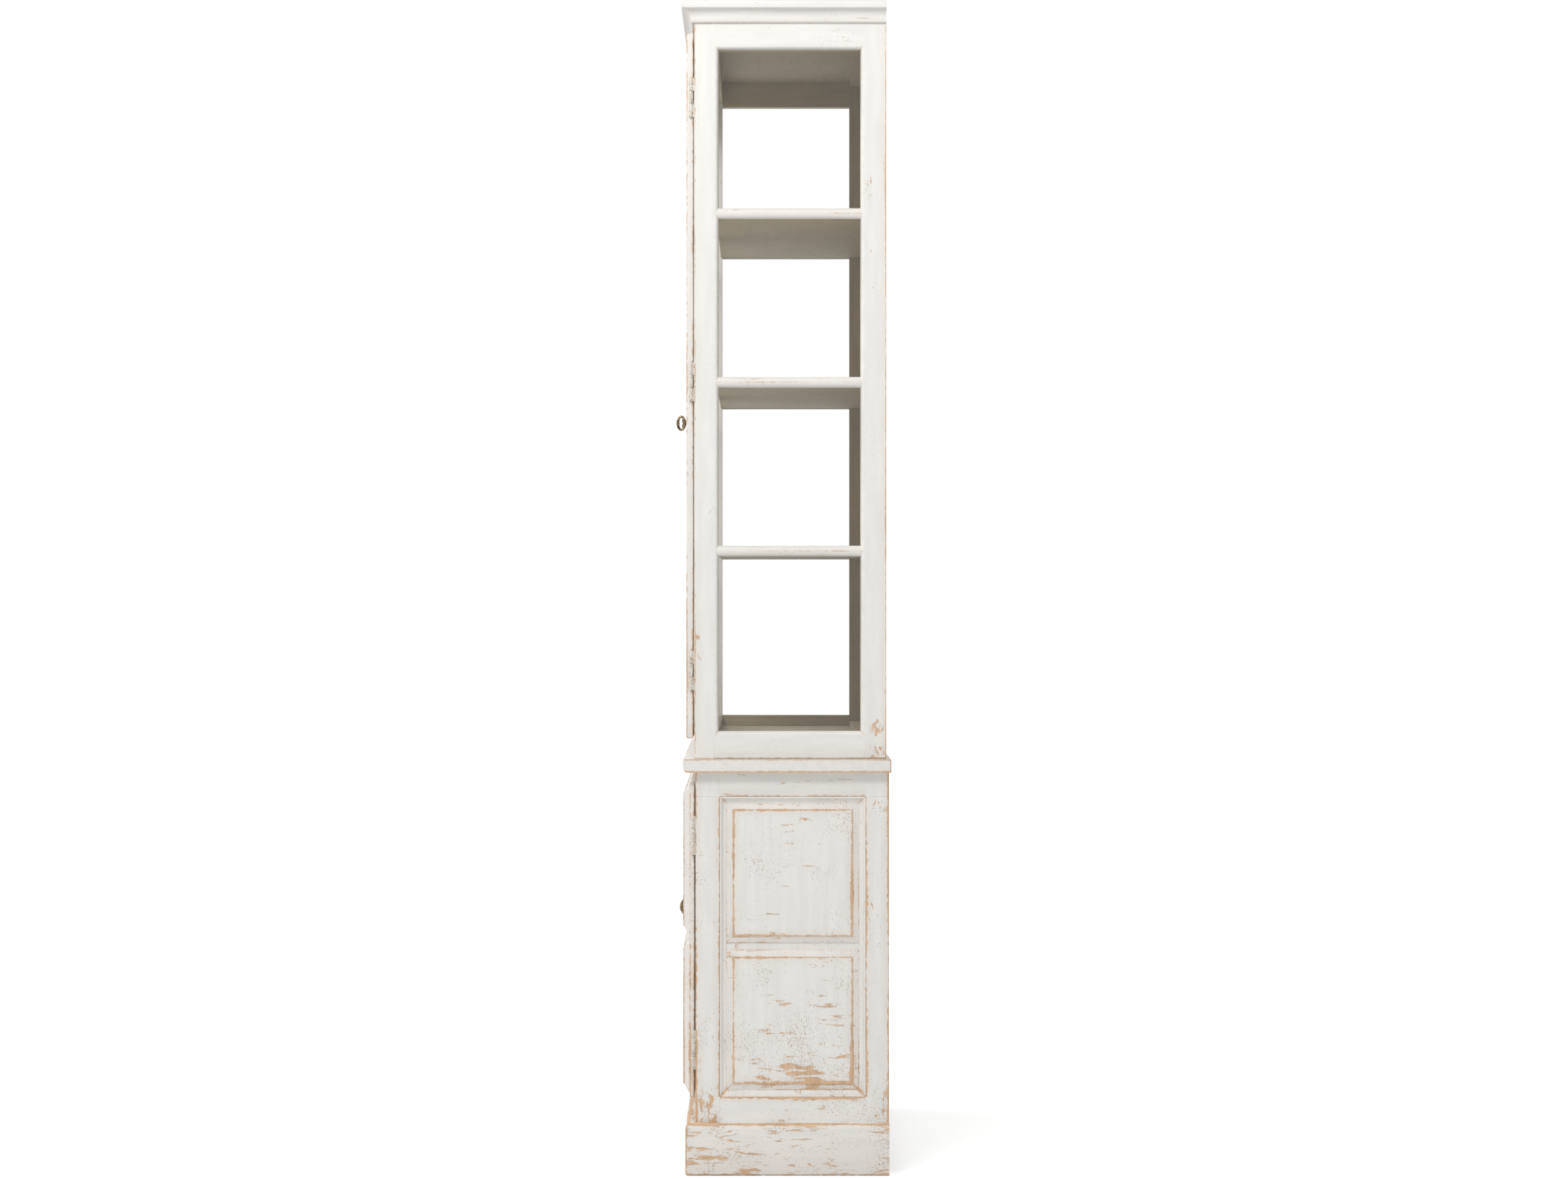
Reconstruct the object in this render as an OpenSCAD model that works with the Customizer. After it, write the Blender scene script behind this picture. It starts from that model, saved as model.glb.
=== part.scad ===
// Two-part curio cabinet: a glazed upper case on a panelled lower case.
// Millimetres, Z up, front toward -Y, origin under the middle of the whole.

/* [Overall] */
// Width of both cases over the corner posts
body_w = 1040; // [900:1:1260]
// Depth of the lower case, front face to back
body_d = 377.5; // [310:0.5:460]
// Height to the top edge of the crown
total_h = 2286; // [1880:1:2760]
// Height of the underside of the waist board
waist_z = 784; // [650:1:950]
// Thickness of the waist board
waist_t = 26.5; // [22:0.5:32]
// How far the waist board stands out at the front and sides
waist_out = 24; // [16:1:34]
// How far the crown stands out at the front and sides
crown_out = 25.5; // [20:0.5:34]
// Height of the plinth
plinth_h = 102; // [80:1:130]
// Thickness of the plinth boards
plinth_t = 19.5; // [15:0.5:26]

/* [Frame] */
// Width of every corner post across the front
post_w = 47; // [42:1:60]
// Depth of the upper front posts
post_uf = 47; // [42:1:60]
// Depth of the upper back posts
post_ub = 50; // [42:1:60]
// Depth of the lower front posts
post_lf = 48; // [42:1:60]
// Depth of the lower back posts
post_lb = 46; // [42:1:60]
// Thickness of the shelves and the boards of both cases
board_t = 18; // [14:1:24]
// Thickness of the back panels
back_t = 8; // [5:1:12]
// Depth of the housings that hold the shelves
house = 4; // [3:1:8]

/* [Glazing] */
// Depth of the rebate for the side glass and its mouldings
reb = 17; // [14:1:20]
// Width of the glazing moulding
gmw = 8; // [6:1:12]
// Thickness of the glass
glass_t = 3; // [2:0.5:4]
// Width of the half-round glazing bars
bar_w = 21; // [14:1:28]

/* [Doors] */
// Thickness of the upper doors
udoor_t = 14; // [12:1:20]
// Thickness of the lower door boards
ldoor_t = 10; // [9:1:16]
// Space behind the upper doors
ugap = 2; // [1.5:0.5:4]
// Space behind the lower doors
lgap = 1.5; // [1.5:0.5:4]
// Space between the hinged door edges and the knuckles
edge_in = 0.5; // [0.4:0.1:2]
// Half the space between the meeting edges
meet = 1.5; // [1:0.5:3]
// Width of the upper door stiles and top rail
stile_w = 58; // [50:1:80]
// Height of the upper door bottom rail
brail_h = 75; // [60:1:110]
// Height of the raised panels over the lower door board
field_h = 13; // [8:1:16]
// How far a key stands out from its door
key_out = 28.8; // [26:0.2:34]

/* [Hardware] */
// Radius of the upper hinge knuckles
kr_u = 4; // [3.4:0.1:5]
// Radius of the lower hinge knuckles
kr_l = 3.6; // [3.2:0.1:4]
// Height of a hinge
hinge_h = 76; // [60:1:90]
// Radial space around a hinge pin
pin_fit = 0.06; // [0.02:0.02:0.1]
// Space round the bolts
bolt_fit = 0.4; // [0.35:0.05:0.6]
// Distance of the locks from the middle of the cabinet
lock_x = 20; // [19:1:24]

/* [Hidden] */

$fn = 48;
e = 1;
hw = body_w / 2;
xi = hw - post_w;
step_f = 2;                               // lower case behind the face of the upper
waist_back = 4;                           // waist board past the back
upper_in = 5.3;                           // upper case short of the lower at the back
crown_lip = 22;                           // crown above the upper frame
crown_in = 18;                            // crown over the frame, inward
floor_up = 31;                            // upper floor above its foot
side_foot = 53.5;                         // side opening above the upper foot
side_head = 93.5;                         // side opening below the top
front_head = 87;                          // front opening below the top
bar_first = 0.2642;                       // shelf heights, as shares of the side opening
bar_next = 0.2477;
udoor_foot = 38.8;                        // upper doors above the upper foot
udoor_head = 61;                          // upper doors below the top
ldoor_foot = 47;                          // lower doors above the plinth
ldoor_head = 22;                          // lower doors below the waist board
recess_foot = 50;                         // lower side recess above the plinth
recess_head = 47.5;                       // recess and lower front opening below the waist board
lfront_foot = 63;                         // lower front opening above the plinth
back_reb = 20;                            // posts beside the back panels
rail_t = 30;                              // thickness of the lower side rails
groove = 7;                               // depth of the grooves for the side boards
leaf_case = 34;                           // hinge leaf from the pin inward
leaf_door = 30;
leaf_t = 1.5;
leaf_past = 2;                            // hinge leaf past the pin
knuckle_h = 25;
knuckle_gap = 0.4;
uk_off = 2.5;                             // upper knuckles clear of the case
lk_off = 0.4;
front_reach = ugap + udoor_t + key_out;
back_reach = step_f + body_d + waist_back;
yu = (front_reach - back_reach) / 2;      // face of the upper case
yl = yu + step_f;                         // face of the lower case
ylb = yl + body_d;                        // back of the lower case
yub = ylb - upper_in;                     // back of the upper case
uz = waist_z + waist_t;                   // foot of the upper case
zf = total_h - crown_lip;                 // top of the upper frame
zc = zf - board_t;                        // underside of the ceiling
zfloor = uz + floor_up;                   // top of the upper floor
zs0 = uz + side_foot;                     // side opening, bottom
zs1 = total_h - side_head;                // side opening, top
zfo = total_h - front_head;               // front opening, top
sy0 = yu + post_uf;                       // side opening, front
sy1 = yub - post_ub;                      // side opening, back
bar_z = [for (i = [0:2]) zs0 + (zs1 - zs0) * (bar_first + bar_next * i)];
ud0 = uz + udoor_foot;                    // upper doors
ud1 = total_h - udoor_head;
udf = yu - ugap - udoor_t;
udb = yu - ugap;
ld0 = plinth_h + ldoor_foot;              // lower doors
ld1 = waist_z - ldoor_head;
ldf = yl - lgap - ldoor_t;
ldb = yl - lgap;
ax = hw - kr_u;                           // hinge axes
ay_u = yu - kr_u - uk_off;
ay_l = yl - kr_l - lk_off;
xe = ax - kr_u - edge_in;                 // hinged edge of the doors
lsz0 = plinth_h + recess_foot;            // lower side recess
lsz1 = waist_z - recess_head;
lfz0 = plinth_h + lfront_foot;            // lower front opening
lfz1 = waist_z - recess_head;
lsy0 = yl + post_lf;
lsy1 = ylb - post_lb;
grd = hw - 12;                            // ground of the lower sides
smw = 12;                                 // lower side moulding
sill = 60;                                // underside of the lowest rails
lshelf_z = (lfz0 + lfz1) / 2;
hinge_ends = [133, 126];                  // hinges from the feet and heads of the doors
lhinge_ends = [94, 101];
hinge_mid = 8;
uh_z = [ud0 + hinge_ends[0], (ud0 + ud1) / 2 + hinge_mid, ud1 - hinge_ends[1]];
lh_z = [ld0 + lhinge_ends[0], ld1 - lhinge_ends[1]];
ulock_up = 0.4606;                        // keyholes, as shares of the door heights
llock_up = 0.5466;
ulock_z = ud0 + ulock_up * (ud1 - ud0);
llock_z = ld0 + llock_up * (ld1 - ld0);
bolt_x = -30;                             // slide bolts of the left doors
bolt_r = 4;
bolt_off = 10;                            // bolt centre behind the door
bolt_hole = 4.8;
throw = 14;
panel_gap = 7;                            // half the space between raised panels
side_edge = 2;                            // side panels: thickness at the edge and in the field, bevel
side_field = 9;
side_bevel = 14;
mould_t = 11.5;                           // height of the recess moulding
jt = 0.1;                                 // glue line at the mitres

wood = [0.90, 0.89, 0.86];
inner = [0.50, 0.47, 0.40];
brass = [0.45, 0.35, 0.20];
pane = [0.75, 0.85, 0.85, 0.4];

module block(x0, x1, y0, y1, z0, z1)
  translate([x0, y0, z0]) cube([x1 - x0, y1 - y0, z1 - z0]);

module left() mirror([1, 0, 0]) children();

module both() { children(); mirror([1, 0, 0]) children(); }

// A profile of [y, z] points run along X
module run_x(x0, x1, pts)
  translate([x0, 0, 0]) rotate([90, 0, 90]) linear_extrude(x1 - x0) polygon(pts);

// A profile of [x, z] points run along Y
module run_y(y0, y1, pts)
  translate([0, y1, 0]) rotate([90, 0, 0]) linear_extrude(y1 - y0) polygon(pts);

// A plan of [x, y] points
module plan(z0, z1, pts)
  translate([0, 0, z0]) linear_extrude(z1 - z0) polygon(pts);

// Onto the right side (outward +X) or onto a front (outward -Y)
module on_side(x) translate([x, 0, 0]) rotate([90, 0, 90]) children();
module on_front(y) translate([0, y, 0]) rotate([90, 0, 0]) children();

function arc(cx, cy, rx, ry, a0, a1, n) =
  [for (i = [0:n]) let (a = a0 + (a1 - a0) * i / n) [cx + rx * cos(a), cy + ry * sin(a)]];

// Four mitred strips laid round a rectangle, profile [inward, out]
module strips(u0, u1, v0, v1, w, t, prof) {
  for (m = [0, 1]) translate([m * (u0 + u1), 0, 0]) mirror([m, 0, 0]) intersection() {
    translate([u0, v1, 0]) rotate([90, 0, 0]) linear_extrude(v1 - v0) polygon(prof);
    linear_extrude(t) polygon([[u0, v0 + jt], [u0 + w, v0 + w + jt], [u0 + w, v1 - w - jt], [u0, v1 - jt]]);
  }
  for (m = [0, 1]) translate([0, m * (v0 + v1), 0]) mirror([0, m, 0]) intersection() {
    translate([u0, v0, 0]) rotate([90, 0, 90]) linear_extrude(u1 - u0) polygon(prof);
    linear_extrude(t) polygon([[u0, v0], [u1, v0], [u1 - w, v0 + w], [u0 + w, v0 + w]]);
  }
}

// Half-round bars across a rectangle
module bars(u0, u1, zs, w, h)
  for (z = zs) translate([u0 + jt, z, 0]) rotate([90, 0, 90]) linear_extrude(u1 - u0 - 2 * jt)
    polygon(concat([[-w / 2, 0]], [[w / 2, 0]], arc(0, 2, w / 2, h - 2, 0, 180, 10)));

// A raised panel with bevelled borders
module raised(u0, u1, v0, v1, h0, h1, b) {
  U = u1 - u0;
  V = v1 - v0;
  intersection() {
    translate([u0, v1, 0]) rotate([90, 0, 0]) linear_extrude(V)
      polygon([[0, 0], [U, 0], [U, h0], [U - b, h1], [b, h1], [0, h0]]);
    translate([u0, v0, 0]) rotate([90, 0, 90]) linear_extrude(U)
      polygon([[0, 0], [V, 0], [V, h0], [V - b, h1], [b, h1], [0, h0]]);
  }
}

// Upper case ---------------------------------------------------------------

module shelf_housings(y0, y1)
  for (z = bar_z) block(xi - e, hw - reb - 1.7, y0, y1, z - board_t / 2, z + board_t / 2);

module case_mortises(zs, y)
  for (z = zs) block(ax - leaf_case, ax + leaf_past, y - e, y + leaf_t, z - hinge_h / 2, z + hinge_h / 2);

module post_front_upper() difference() {
  block(xi, hw, yu, sy0, uz, zf);
  block(hw - reb, hw + e, sy0 - gmw, sy0 + e, zs0 - gmw, zs1 + gmw);
  shelf_housings(sy0 - house, sy0 + e);
  case_mortises(uh_z, yu);
}

module post_back_upper() difference() {
  block(xi, hw, sy1, yub, uz, zf);
  block(hw - reb, hw + e, sy1 - e, sy1 + gmw, zs0 - gmw, zs1 + gmw);
  block(xi - e, hw - back_reb, yub - back_t, yub + e, uz - e, zf + e);
  shelf_housings(sy1 - e, sy1 + house);
}

module upper_post_front_right() color(wood) post_front_upper();
module upper_post_front_left() color(wood) left() post_front_upper();
module upper_posts_back() color(wood) both() post_back_upper();

module upper_front_rails() color(wood) {
  difference() {
    block(-xi, xi, yu, sy0, zfo, zf);
    translate([bolt_x, udb + bolt_off, zfo - e]) cylinder(r = bolt_hole, h = throw + 1);
  }
  difference() {
    block(-xi, xi, yu, sy0, uz, zs0);
    translate([bolt_x, udb + bolt_off, zs0 - throw]) cylinder(r = bolt_hole, h = throw + 1);
  }
}

module side_rails_upper() {
  difference() {
    block(xi, hw, sy0, sy1, zs1, zf);
    block(hw - reb, hw + e, sy0 - e, sy1 + e, zs1 - e, zs1 + gmw);
  }
  difference() {
    block(xi, hw, sy0, sy1, uz, zs0);
    block(hw - reb, hw + e, sy0 - e, sy1 + e, zs0 - gmw, zs0 + e);
  }
}
module upper_side_rails_right() color(wood) side_rails_upper();
module upper_side_rails_left() color(wood) left() side_rails_upper();

module upper_back_rails() color(wood) {
  block(-xi, xi, sy1, yub - back_t, zf - board_t - 10, zf);
  block(-xi, xi, sy1, yub - back_t, uz, zfloor + 10);
}

module ceiling_board() color(inner) block(-xi, xi, sy0, sy1, zc, zf);
module upper_floor_board() color(inner) block(-xi, xi, sy0, sy1, zfloor - board_t, zfloor);

module shelf(z, y0, y1, yb, x1, h) {
  block(-x1, x1, y0 - h, y1 + h, z - board_t / 2, z + board_t / 2);
  block(-xi + 0.5, xi - 0.5, y0 - h, yb, z - board_t / 2, z + board_t / 2);
}

module upper_shelves() color(inner)
  for (z = bar_z) shelf(z, sy0, sy1, yub - back_t, hw - reb - 2, house);

module upper_back_panel() color(inner)
  block(-hw + back_reb, hw - back_reb, yub - back_t, yub, uz, zf);

module side_glass() color(pane) both()
  block(hw - reb, hw - reb + glass_t, sy0 - gmw + 0.5, sy1 + gmw - 0.5,
    zs0 - gmw + 0.5, zs1 + gmw - 0.5);

module side_glazing() {
  t = reb - glass_t - 0.5;
  prof = concat([[0, 0], [gmw, 0]], arc(1, 3, gmw - 1, t - 3, 0, 90, 7), [[0, t]]);
  on_side(hw - reb + glass_t) {
    strips(sy0 - gmw, sy1 + gmw, zs0 - gmw, zs1 + gmw, gmw, t, prof);
    bars(sy0, sy1, bar_z, bar_w, t - 1.5);
  }
}
module side_glazing_right() color(wood) side_glazing();
module side_glazing_left() color(wood) left() side_glazing();

// Crown profile as [out, height below the top]
function crown_pts() = concat(
  [[-crown_in, 0], [-crown_in, -crown_lip], [0, -crown_lip], [0, -43], [3, -43]],
  arc(3, -37.5, 5.5, 5.5, -90, 90, 7),
  [[6, -32]],
  [for (i = [1:6]) let (a = 90 * i / 6) [6 + 15 * (1 - cos(a)), -32 + 15 * sin(a)]],
  [[crown_out - 1, -17], [crown_out, -16], [crown_out, -2], [crown_out - 2, 0]]);

module crown_side() intersection() {
  run_y(yu - crown_out, yub, [for (p = crown_pts()) [hw + p[0], total_h + p[1]]]);
  plan(total_h - 50, total_h + e, [[hw - crown_in, yu + crown_in], [hw + crown_out, yu - crown_out],
    [hw + crown_out, yub], [hw - crown_in, yub]]);
}
module crown_front() color(wood) intersection() {
  run_x(-hw - crown_out, hw + crown_out, [for (p = crown_pts()) [yu - p[0], total_h + p[1]]]);
  plan(total_h - 50, total_h + e, [[-hw + crown_in, yu + crown_in], [hw - crown_in, yu + crown_in],
    [hw + crown_out, yu - crown_out], [-hw - crown_out, yu - crown_out]]);
}
module crown_sides() color(wood) both() crown_side();

// Lower case ---------------------------------------------------------------

module lower_posts_front() color(wood) both() difference() {
  block(xi, hw, yl, lsy0, 0, waist_z);
  block(grd - back_t, grd, lsy0 - groove, lsy0 + e, lsz0 - groove, lsz1 + groove);
  block(xi - e, grd - back_t - groove, lsy0 - house, lsy0 + e, lshelf_z - board_t / 2, lshelf_z + board_t / 2);
  case_mortises(lh_z, yl);
}

module lower_posts_back() color(wood) both() difference() {
  block(xi, hw, lsy1, ylb, 0, waist_z);
  block(grd - back_t, grd, lsy1 - e, lsy1 + groove, lsz0 - groove, lsz1 + groove);
  block(xi - e, grd - back_t - groove, lsy1 - e, lsy1 + house, lshelf_z - board_t / 2, lshelf_z + board_t / 2);
  block(xi - e, hw - back_reb, ylb - back_t, ylb + e, sill, waist_z + e);
}

module lower_front_rails() color(wood) {
  difference() {
    block(-xi, xi, yl, lsy0, lfz1, waist_z);
    translate([bolt_x, ldb + bolt_off, lfz1 - e]) cylinder(r = bolt_hole, h = throw + 1);
  }
  block(-xi, xi, yl, lsy0, sill, lfz0);
}

module lower_side_rails() color(wood) both() {
  difference() {
    block(hw - rail_t, hw, lsy0, lsy1, lsz1, waist_z);
    block(grd - back_t, grd, lsy0 - e, lsy1 + e, lsz1 - e, lsz1 + groove);
  }
  difference() {
    block(hw - rail_t, hw, lsy0, lsy1, sill, lsz0);
    block(grd - back_t, grd, lsy0 - e, lsy1 + e, lsz0 - groove, lsz0 + e);
  }
}

module side_boards() color(wood) both()
  block(grd - back_t, grd, lsy0 - groove, lsy1 + groove, lsz0 - groove, lsz1 + groove);

module side_panels() {
  mid = (lsz0 + lsz1) / 2;
  on_side(grd) {
    raised(lsy0 + smw, lsy1 - smw, lsz0 + smw, mid - panel_gap, side_edge, side_field, side_bevel);
    raised(lsy0 + smw, lsy1 - smw, mid + panel_gap, lsz1 - smw, side_edge, side_field, side_bevel);
  }
}
module side_panels_right() color(wood) side_panels();
module side_panels_left() color(wood) left() side_panels();

module side_mouldings() color(wood) both() on_side(grd)
  strips(lsy0, lsy1, lsz0, lsz1, smw, mould_t, concat([[0, 0], [smw, 0], [smw, 2]],
    [for (i = [0:6]) let (a = 90 * i / 6) [smw - 1 - 8 * sin(a), 2.5 + 8 * (1 - cos(a))]],
    [[2.5, mould_t], [0, mould_t]]));

module lower_back_rails() color(wood) {
  block(-xi, xi, lsy1, ylb - back_t, waist_z - 50, waist_z);
  block(-xi, xi, lsy1, ylb - back_t, sill, lfz0 - board_t);
}

module lower_back_panel() color(inner)
  block(-hw + back_reb, hw - back_reb, ylb - back_t, ylb, sill, waist_z);

module lower_bottom_board() color(inner) {
  block(-xi, xi, lsy0, ylb - back_t, lfz0 - board_t, lfz0);
  block(-hw + rail_t, hw - rail_t, lsy0, lsy1, lfz0 - board_t, lfz0);
}

module lower_shelf() color(inner)
  shelf(lshelf_z, lsy0, lsy1, ylb - back_t, grd - back_t - groove - 0.5, house);

module waist_board() color(wood) intersection() {
  run_x(-hw - waist_out, hw + waist_out, concat(
    [[ylb + waist_back, uz], [ylb + waist_back, waist_z]],
    arc(yl - waist_out + 7, waist_z + 7, 7, 7, 270, 180, 5),
    arc(yl - waist_out + 5, uz - 4, 3, 4, 180, 90, 4)));
  run_y(yl - waist_out, ylb + waist_back, concat(
    arc(hw + waist_out - 7, waist_z + 7, 7, 7, -90, 0, 5),
    arc(hw + waist_out - 5, uz - 4, 3, 4, 0, 90, 4),
    arc(-hw - waist_out + 5, uz - 4, 3, 4, 90, 180, 4),
    arc(-hw - waist_out + 7, waist_z + 7, 7, 7, 180, 270, 5)));
}

function plinth_pts() = concat([[0, plinth_h], [0, 0]],
  arc(plinth_t - 5, 5, 5, 5, -90, 0, 4),
  arc(plinth_t - 9, plinth_h - 12, 9, 12, 0, 90, 5));

module plinth_front() color(wood) intersection() {
  run_x(-hw - plinth_t, hw + plinth_t, [for (p = plinth_pts()) [yl - p[0], p[1]]]);
  plan(-e, plinth_h + e, [[-hw, yl], [hw, yl], [hw + plinth_t, yl - plinth_t],
    [-hw - plinth_t, yl - plinth_t]]);
}
module plinth_sides() color(wood) both() intersection() {
  run_y(yl - plinth_t, ylb, [for (p = plinth_pts()) [hw + p[0], p[1]]]);
  plan(-e, plinth_h + e, [[hw, yl], [hw + plinth_t, yl - plinth_t],
    [hw + plinth_t, ylb], [hw, ylb]]);
}

// Hinges -------------------------------------------------------------------

// Leaf let into the case, two knuckles and the pin
module case_leaf(z, y, ay, r) translate([0, 0, z]) union() {
  block(ax - leaf_case, ax + leaf_past, y, y + leaf_t, -hinge_h / 2, hinge_h / 2);
  for (k = [-hinge_h / 2, hinge_h / 2 - knuckle_h]) {
    translate([ax, ay, k]) cylinder(r = r, h = knuckle_h);
    block(ax - leaf_t, ax + leaf_t, ay + r / 2 + 0.5, y + 0.5, k, k + knuckle_h);
  }
  translate([ax, ay, -hinge_h / 2]) cylinder(r = r / 2, h = hinge_h);
}

// Leaf let into the door and the middle knuckle
module door_leaf(z, yb, ay, r) translate([0, 0, z]) difference() {
  k = hinge_h / 2 - knuckle_h - knuckle_gap;
  union() {
    block(xe - leaf_door, xe, yb - leaf_t, yb, -hinge_h / 2, hinge_h / 2);
    block(xe - 3, ax - r / 2, yb - leaf_t, yb, -k, k);
    translate([ax, ay, -k]) cylinder(r = r, h = 2 * k);
  }
  translate([ax, ay, -hinge_h]) cylinder(r = r / 2 + pin_fit, h = 2 * hinge_h);
}

module hinge_leaves_case() color(brass) both() {
  for (z = uh_z) case_leaf(z, yu, ay_u, kr_u);
  for (z = lh_z) case_leaf(z, yl, ay_l, kr_l);
}
module door_mortises(zs, yb)
  for (z = zs) block(xe - leaf_door, xe + e, yb - leaf_t, yb + e, z - hinge_h / 2, z + hinge_h / 2);

module udoor_right_hinges() color(brass) for (z = uh_z) door_leaf(z, udb, ay_u, kr_u);
module udoor_left_hinges() color(brass) left() for (z = uh_z) door_leaf(z, udb, ay_u, kr_u);
module ldoor_right_hinges() color(brass) for (z = lh_z) door_leaf(z, ldb, ay_l, kr_l);
module ldoor_left_hinges() color(brass) left() for (z = lh_z) door_leaf(z, ldb, ay_l, kr_l);

// Upper doors --------------------------------------------------------------

dgr = 8;                                  // glass rebate of the doors, width and depth
dgd = 7.5;
module door_rebate() block(meet + stile_w - dgr, xe - stile_w + dgr, udb - dgd, udb + e,
  ud0 + brail_h - dgr, ud1 - stile_w + dgr);

module udoor_stiles(lock) {
  difference() {
    block(xe - stile_w, xe, udf, udb, ud0, ud1);
    door_rebate();
    door_mortises(uh_z, udb);
  }
  difference() {
    block(meet, meet + stile_w, udf, udb, ud0, ud1);
    door_rebate();
    if (lock) translate([lock_x, udf - e, ulock_z]) rotate([-90, 0, 0]) cylinder(r = key_bore, h = udoor_t + 2);
  }
}
module udoor_rails() difference() {
  union() {
    block(meet + stile_w, xe - stile_w, udf, udb, ud0, ud0 + brail_h);
    block(meet + stile_w, xe - stile_w, udf, udb, ud1 - stile_w, ud1);
  }
  door_rebate();
}
module udoor_glass() block(meet + stile_w - dgr + 0.5, xe - stile_w + dgr - 0.5, udb - dgd, udb - dgd + glass_t,
  ud0 + brail_h - dgr + 0.5, ud1 - stile_w + dgr - 0.5);
module udoor_glazing() {
  t = dgd - glass_t;
  on_front(udb) strips(meet + stile_w - dgr, xe - stile_w + dgr, ud0 + brail_h - dgr, ud1 - stile_w + dgr,
    dgr, t, [[0, 0], [dgr - 2, 0], [dgr, 1.5], [dgr, t], [0, t]]);
  on_front(udb - dgd) bars(meet + stile_w, xe - stile_w, bar_z, bar_w, udoor_t - dgd);
}
module udoor_right_stiles() color(wood) udoor_stiles(true);
module udoor_right_rails() color(wood) udoor_rails();
module udoor_right_glass() color(pane) udoor_glass();
module udoor_right_glazing() color(wood) udoor_glazing();
module udoor_left_stiles() color(wood) left() udoor_stiles(false);
module udoor_left_rails() color(wood) left() udoor_rails();
module udoor_left_glass() color(pane) left() udoor_glass();
module udoor_left_glazing() color(wood) left() udoor_glazing();

// Lower doors --------------------------------------------------------------

module ldoor_board(lock) difference() {
  block(meet, xe, ldf, ldb, ld0, ld1);
  door_mortises(lh_z, ldb);
  if (lock) translate([lock_x, ldf - e, llock_z]) rotate([-90, 0, 0]) cylinder(r = key_bore, h = ldoor_t + 2);
}
module ldoor_panels() {
  split = ld0 + (ld1 - ld0) * 0.506;
  half_gap = 7.5;
  border = 9;
  on_front(ldf) {
    raised(lock_x + 20, xe - border, ld0 + border + 0.5, split - half_gap, 1.5, field_h, 16);
    raised(lock_x + 20, xe - border, split + half_gap, ld1 - 7, 1.5, field_h, 16);
  }
}
module ldoor_right_board() color(wood) ldoor_board(true);
module ldoor_right_panels() color(wood) ldoor_panels();
module ldoor_left_board() color(wood) left() ldoor_board(false);
module ldoor_left_panels() color(wood) left() ldoor_panels();

// Locks and keys -----------------------------------------------------------

key_bore = 3.4;
shaft_r = 2.4;
bow = [10.5, 16];                         // half sizes of the bow and of its hole
bow_hole = [7, 12];
bow_t = 4;
lock_w = 34;
lock_t = 12;
lock_z = [-22, 26];                       // lock case below and above the key
bolt_w = [-16, 10];                       // lock bolt about the key
bolt_y = [4, 9];
bolt_z = [11, 19];

// Case with its levers' hollow and bolt channel, and the oval plate round the keyhole
module lock(z, yf, yb) translate([lock_x, 0, z]) {
  difference() {
    block(-lock_w / 2, lock_w / 2, yb, yb + lock_t, lock_z[0], lock_z[1]);
    translate([0, yb - e, 0]) rotate([-90, 0, 0]) cylinder(r = key_bore, h = lock_t - 1);
    translate([0, yb + 3, 0]) rotate([-90, 0, 0]) cylinder(r = 9.2, h = 6.5);
    block(-lock_w / 2 - e, bolt_w[1] + 2, yb + bolt_y[0] - bolt_fit, yb + bolt_y[1] + bolt_fit,
      bolt_z[0] - bolt_fit, bolt_z[1] + bolt_fit);
  }
  difference() {
    translate([0, yf, 0]) scale([0.6, 1, 1]) rotate([90, 0, 0]) cylinder(r = 15, h = 1.2);
    translate([0, yf + e, 0]) rotate([90, 0, 0]) cylinder(r = key_bore + 0.2, h = 4);
  }
}
module lock_bolt(z, yb) block(lock_x + bolt_w[0], lock_x + bolt_w[1], yb + bolt_y[0], yb + bolt_y[1],
  z + bolt_z[0], z + bolt_z[1]);

// Key in its keyhole, bow upright
module key(z, yf, yb, out) translate([lock_x, 0, z]) union() {
  nose = yf - out + 18;
  translate([0, nose, 0]) rotate([-90, 0, 0]) cylinder(r = shaft_r, h = yb + 8.5 - nose);
  for (c = [[8.6, 4.6, 2.2], [5, 3.8, 1.8]])
    translate([0, yf - c[0], 0]) rotate([-90, 0, 0]) cylinder(r = c[1], h = c[2]);
  translate([-1.25, yb + 4.4, -8]) cube([2.5, 4, 7]);
  translate([-bow_t / 2, yf - out + bow[0], 0]) rotate([0, 90, 0]) difference() {
    scale([bow[1] / bow[0], 1, 1]) cylinder(r = bow[0], h = bow_t);
    translate([0, 0, -e]) scale([bow_hole[1] / bow_hole[0], 1, 1]) cylinder(r = bow_hole[0], h = bow_t + 2 * e);
  }
}

module upper_lock() color(brass) lock(ulock_z, udf, udb);
module upper_lock_bolt() color(brass) lock_bolt(ulock_z, udb);
module upper_key() color(brass) key(ulock_z, udf, udb, key_out);
module lower_lock() color(brass) lock(llock_z, ldf, ldb);
module lower_lock_bolt() color(brass) lock_bolt(llock_z, ldb);
module lower_key() color(brass) key(llock_z, ldf, ldb, key_out - 0.8);

// Slide bolts of the left doors --------------------------------------------

guide_h = 45;                             // half height of a guide plate
guide_off = 61;                           // plate centre from the rail
module bolt_guides(z, yb) translate([bolt_x, yb, z]) difference() {
  union() {
    block(-12, 12, 0, 1.6, -guide_h, guide_h);
    for (s = [10 - guide_h, guide_h - 10]) block(-8, 8, 0, 16, s - 5, s + 5);
  }
  translate([0, bolt_off, -50]) cylinder(r = bolt_r + bolt_fit, h = 100);
}
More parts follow.
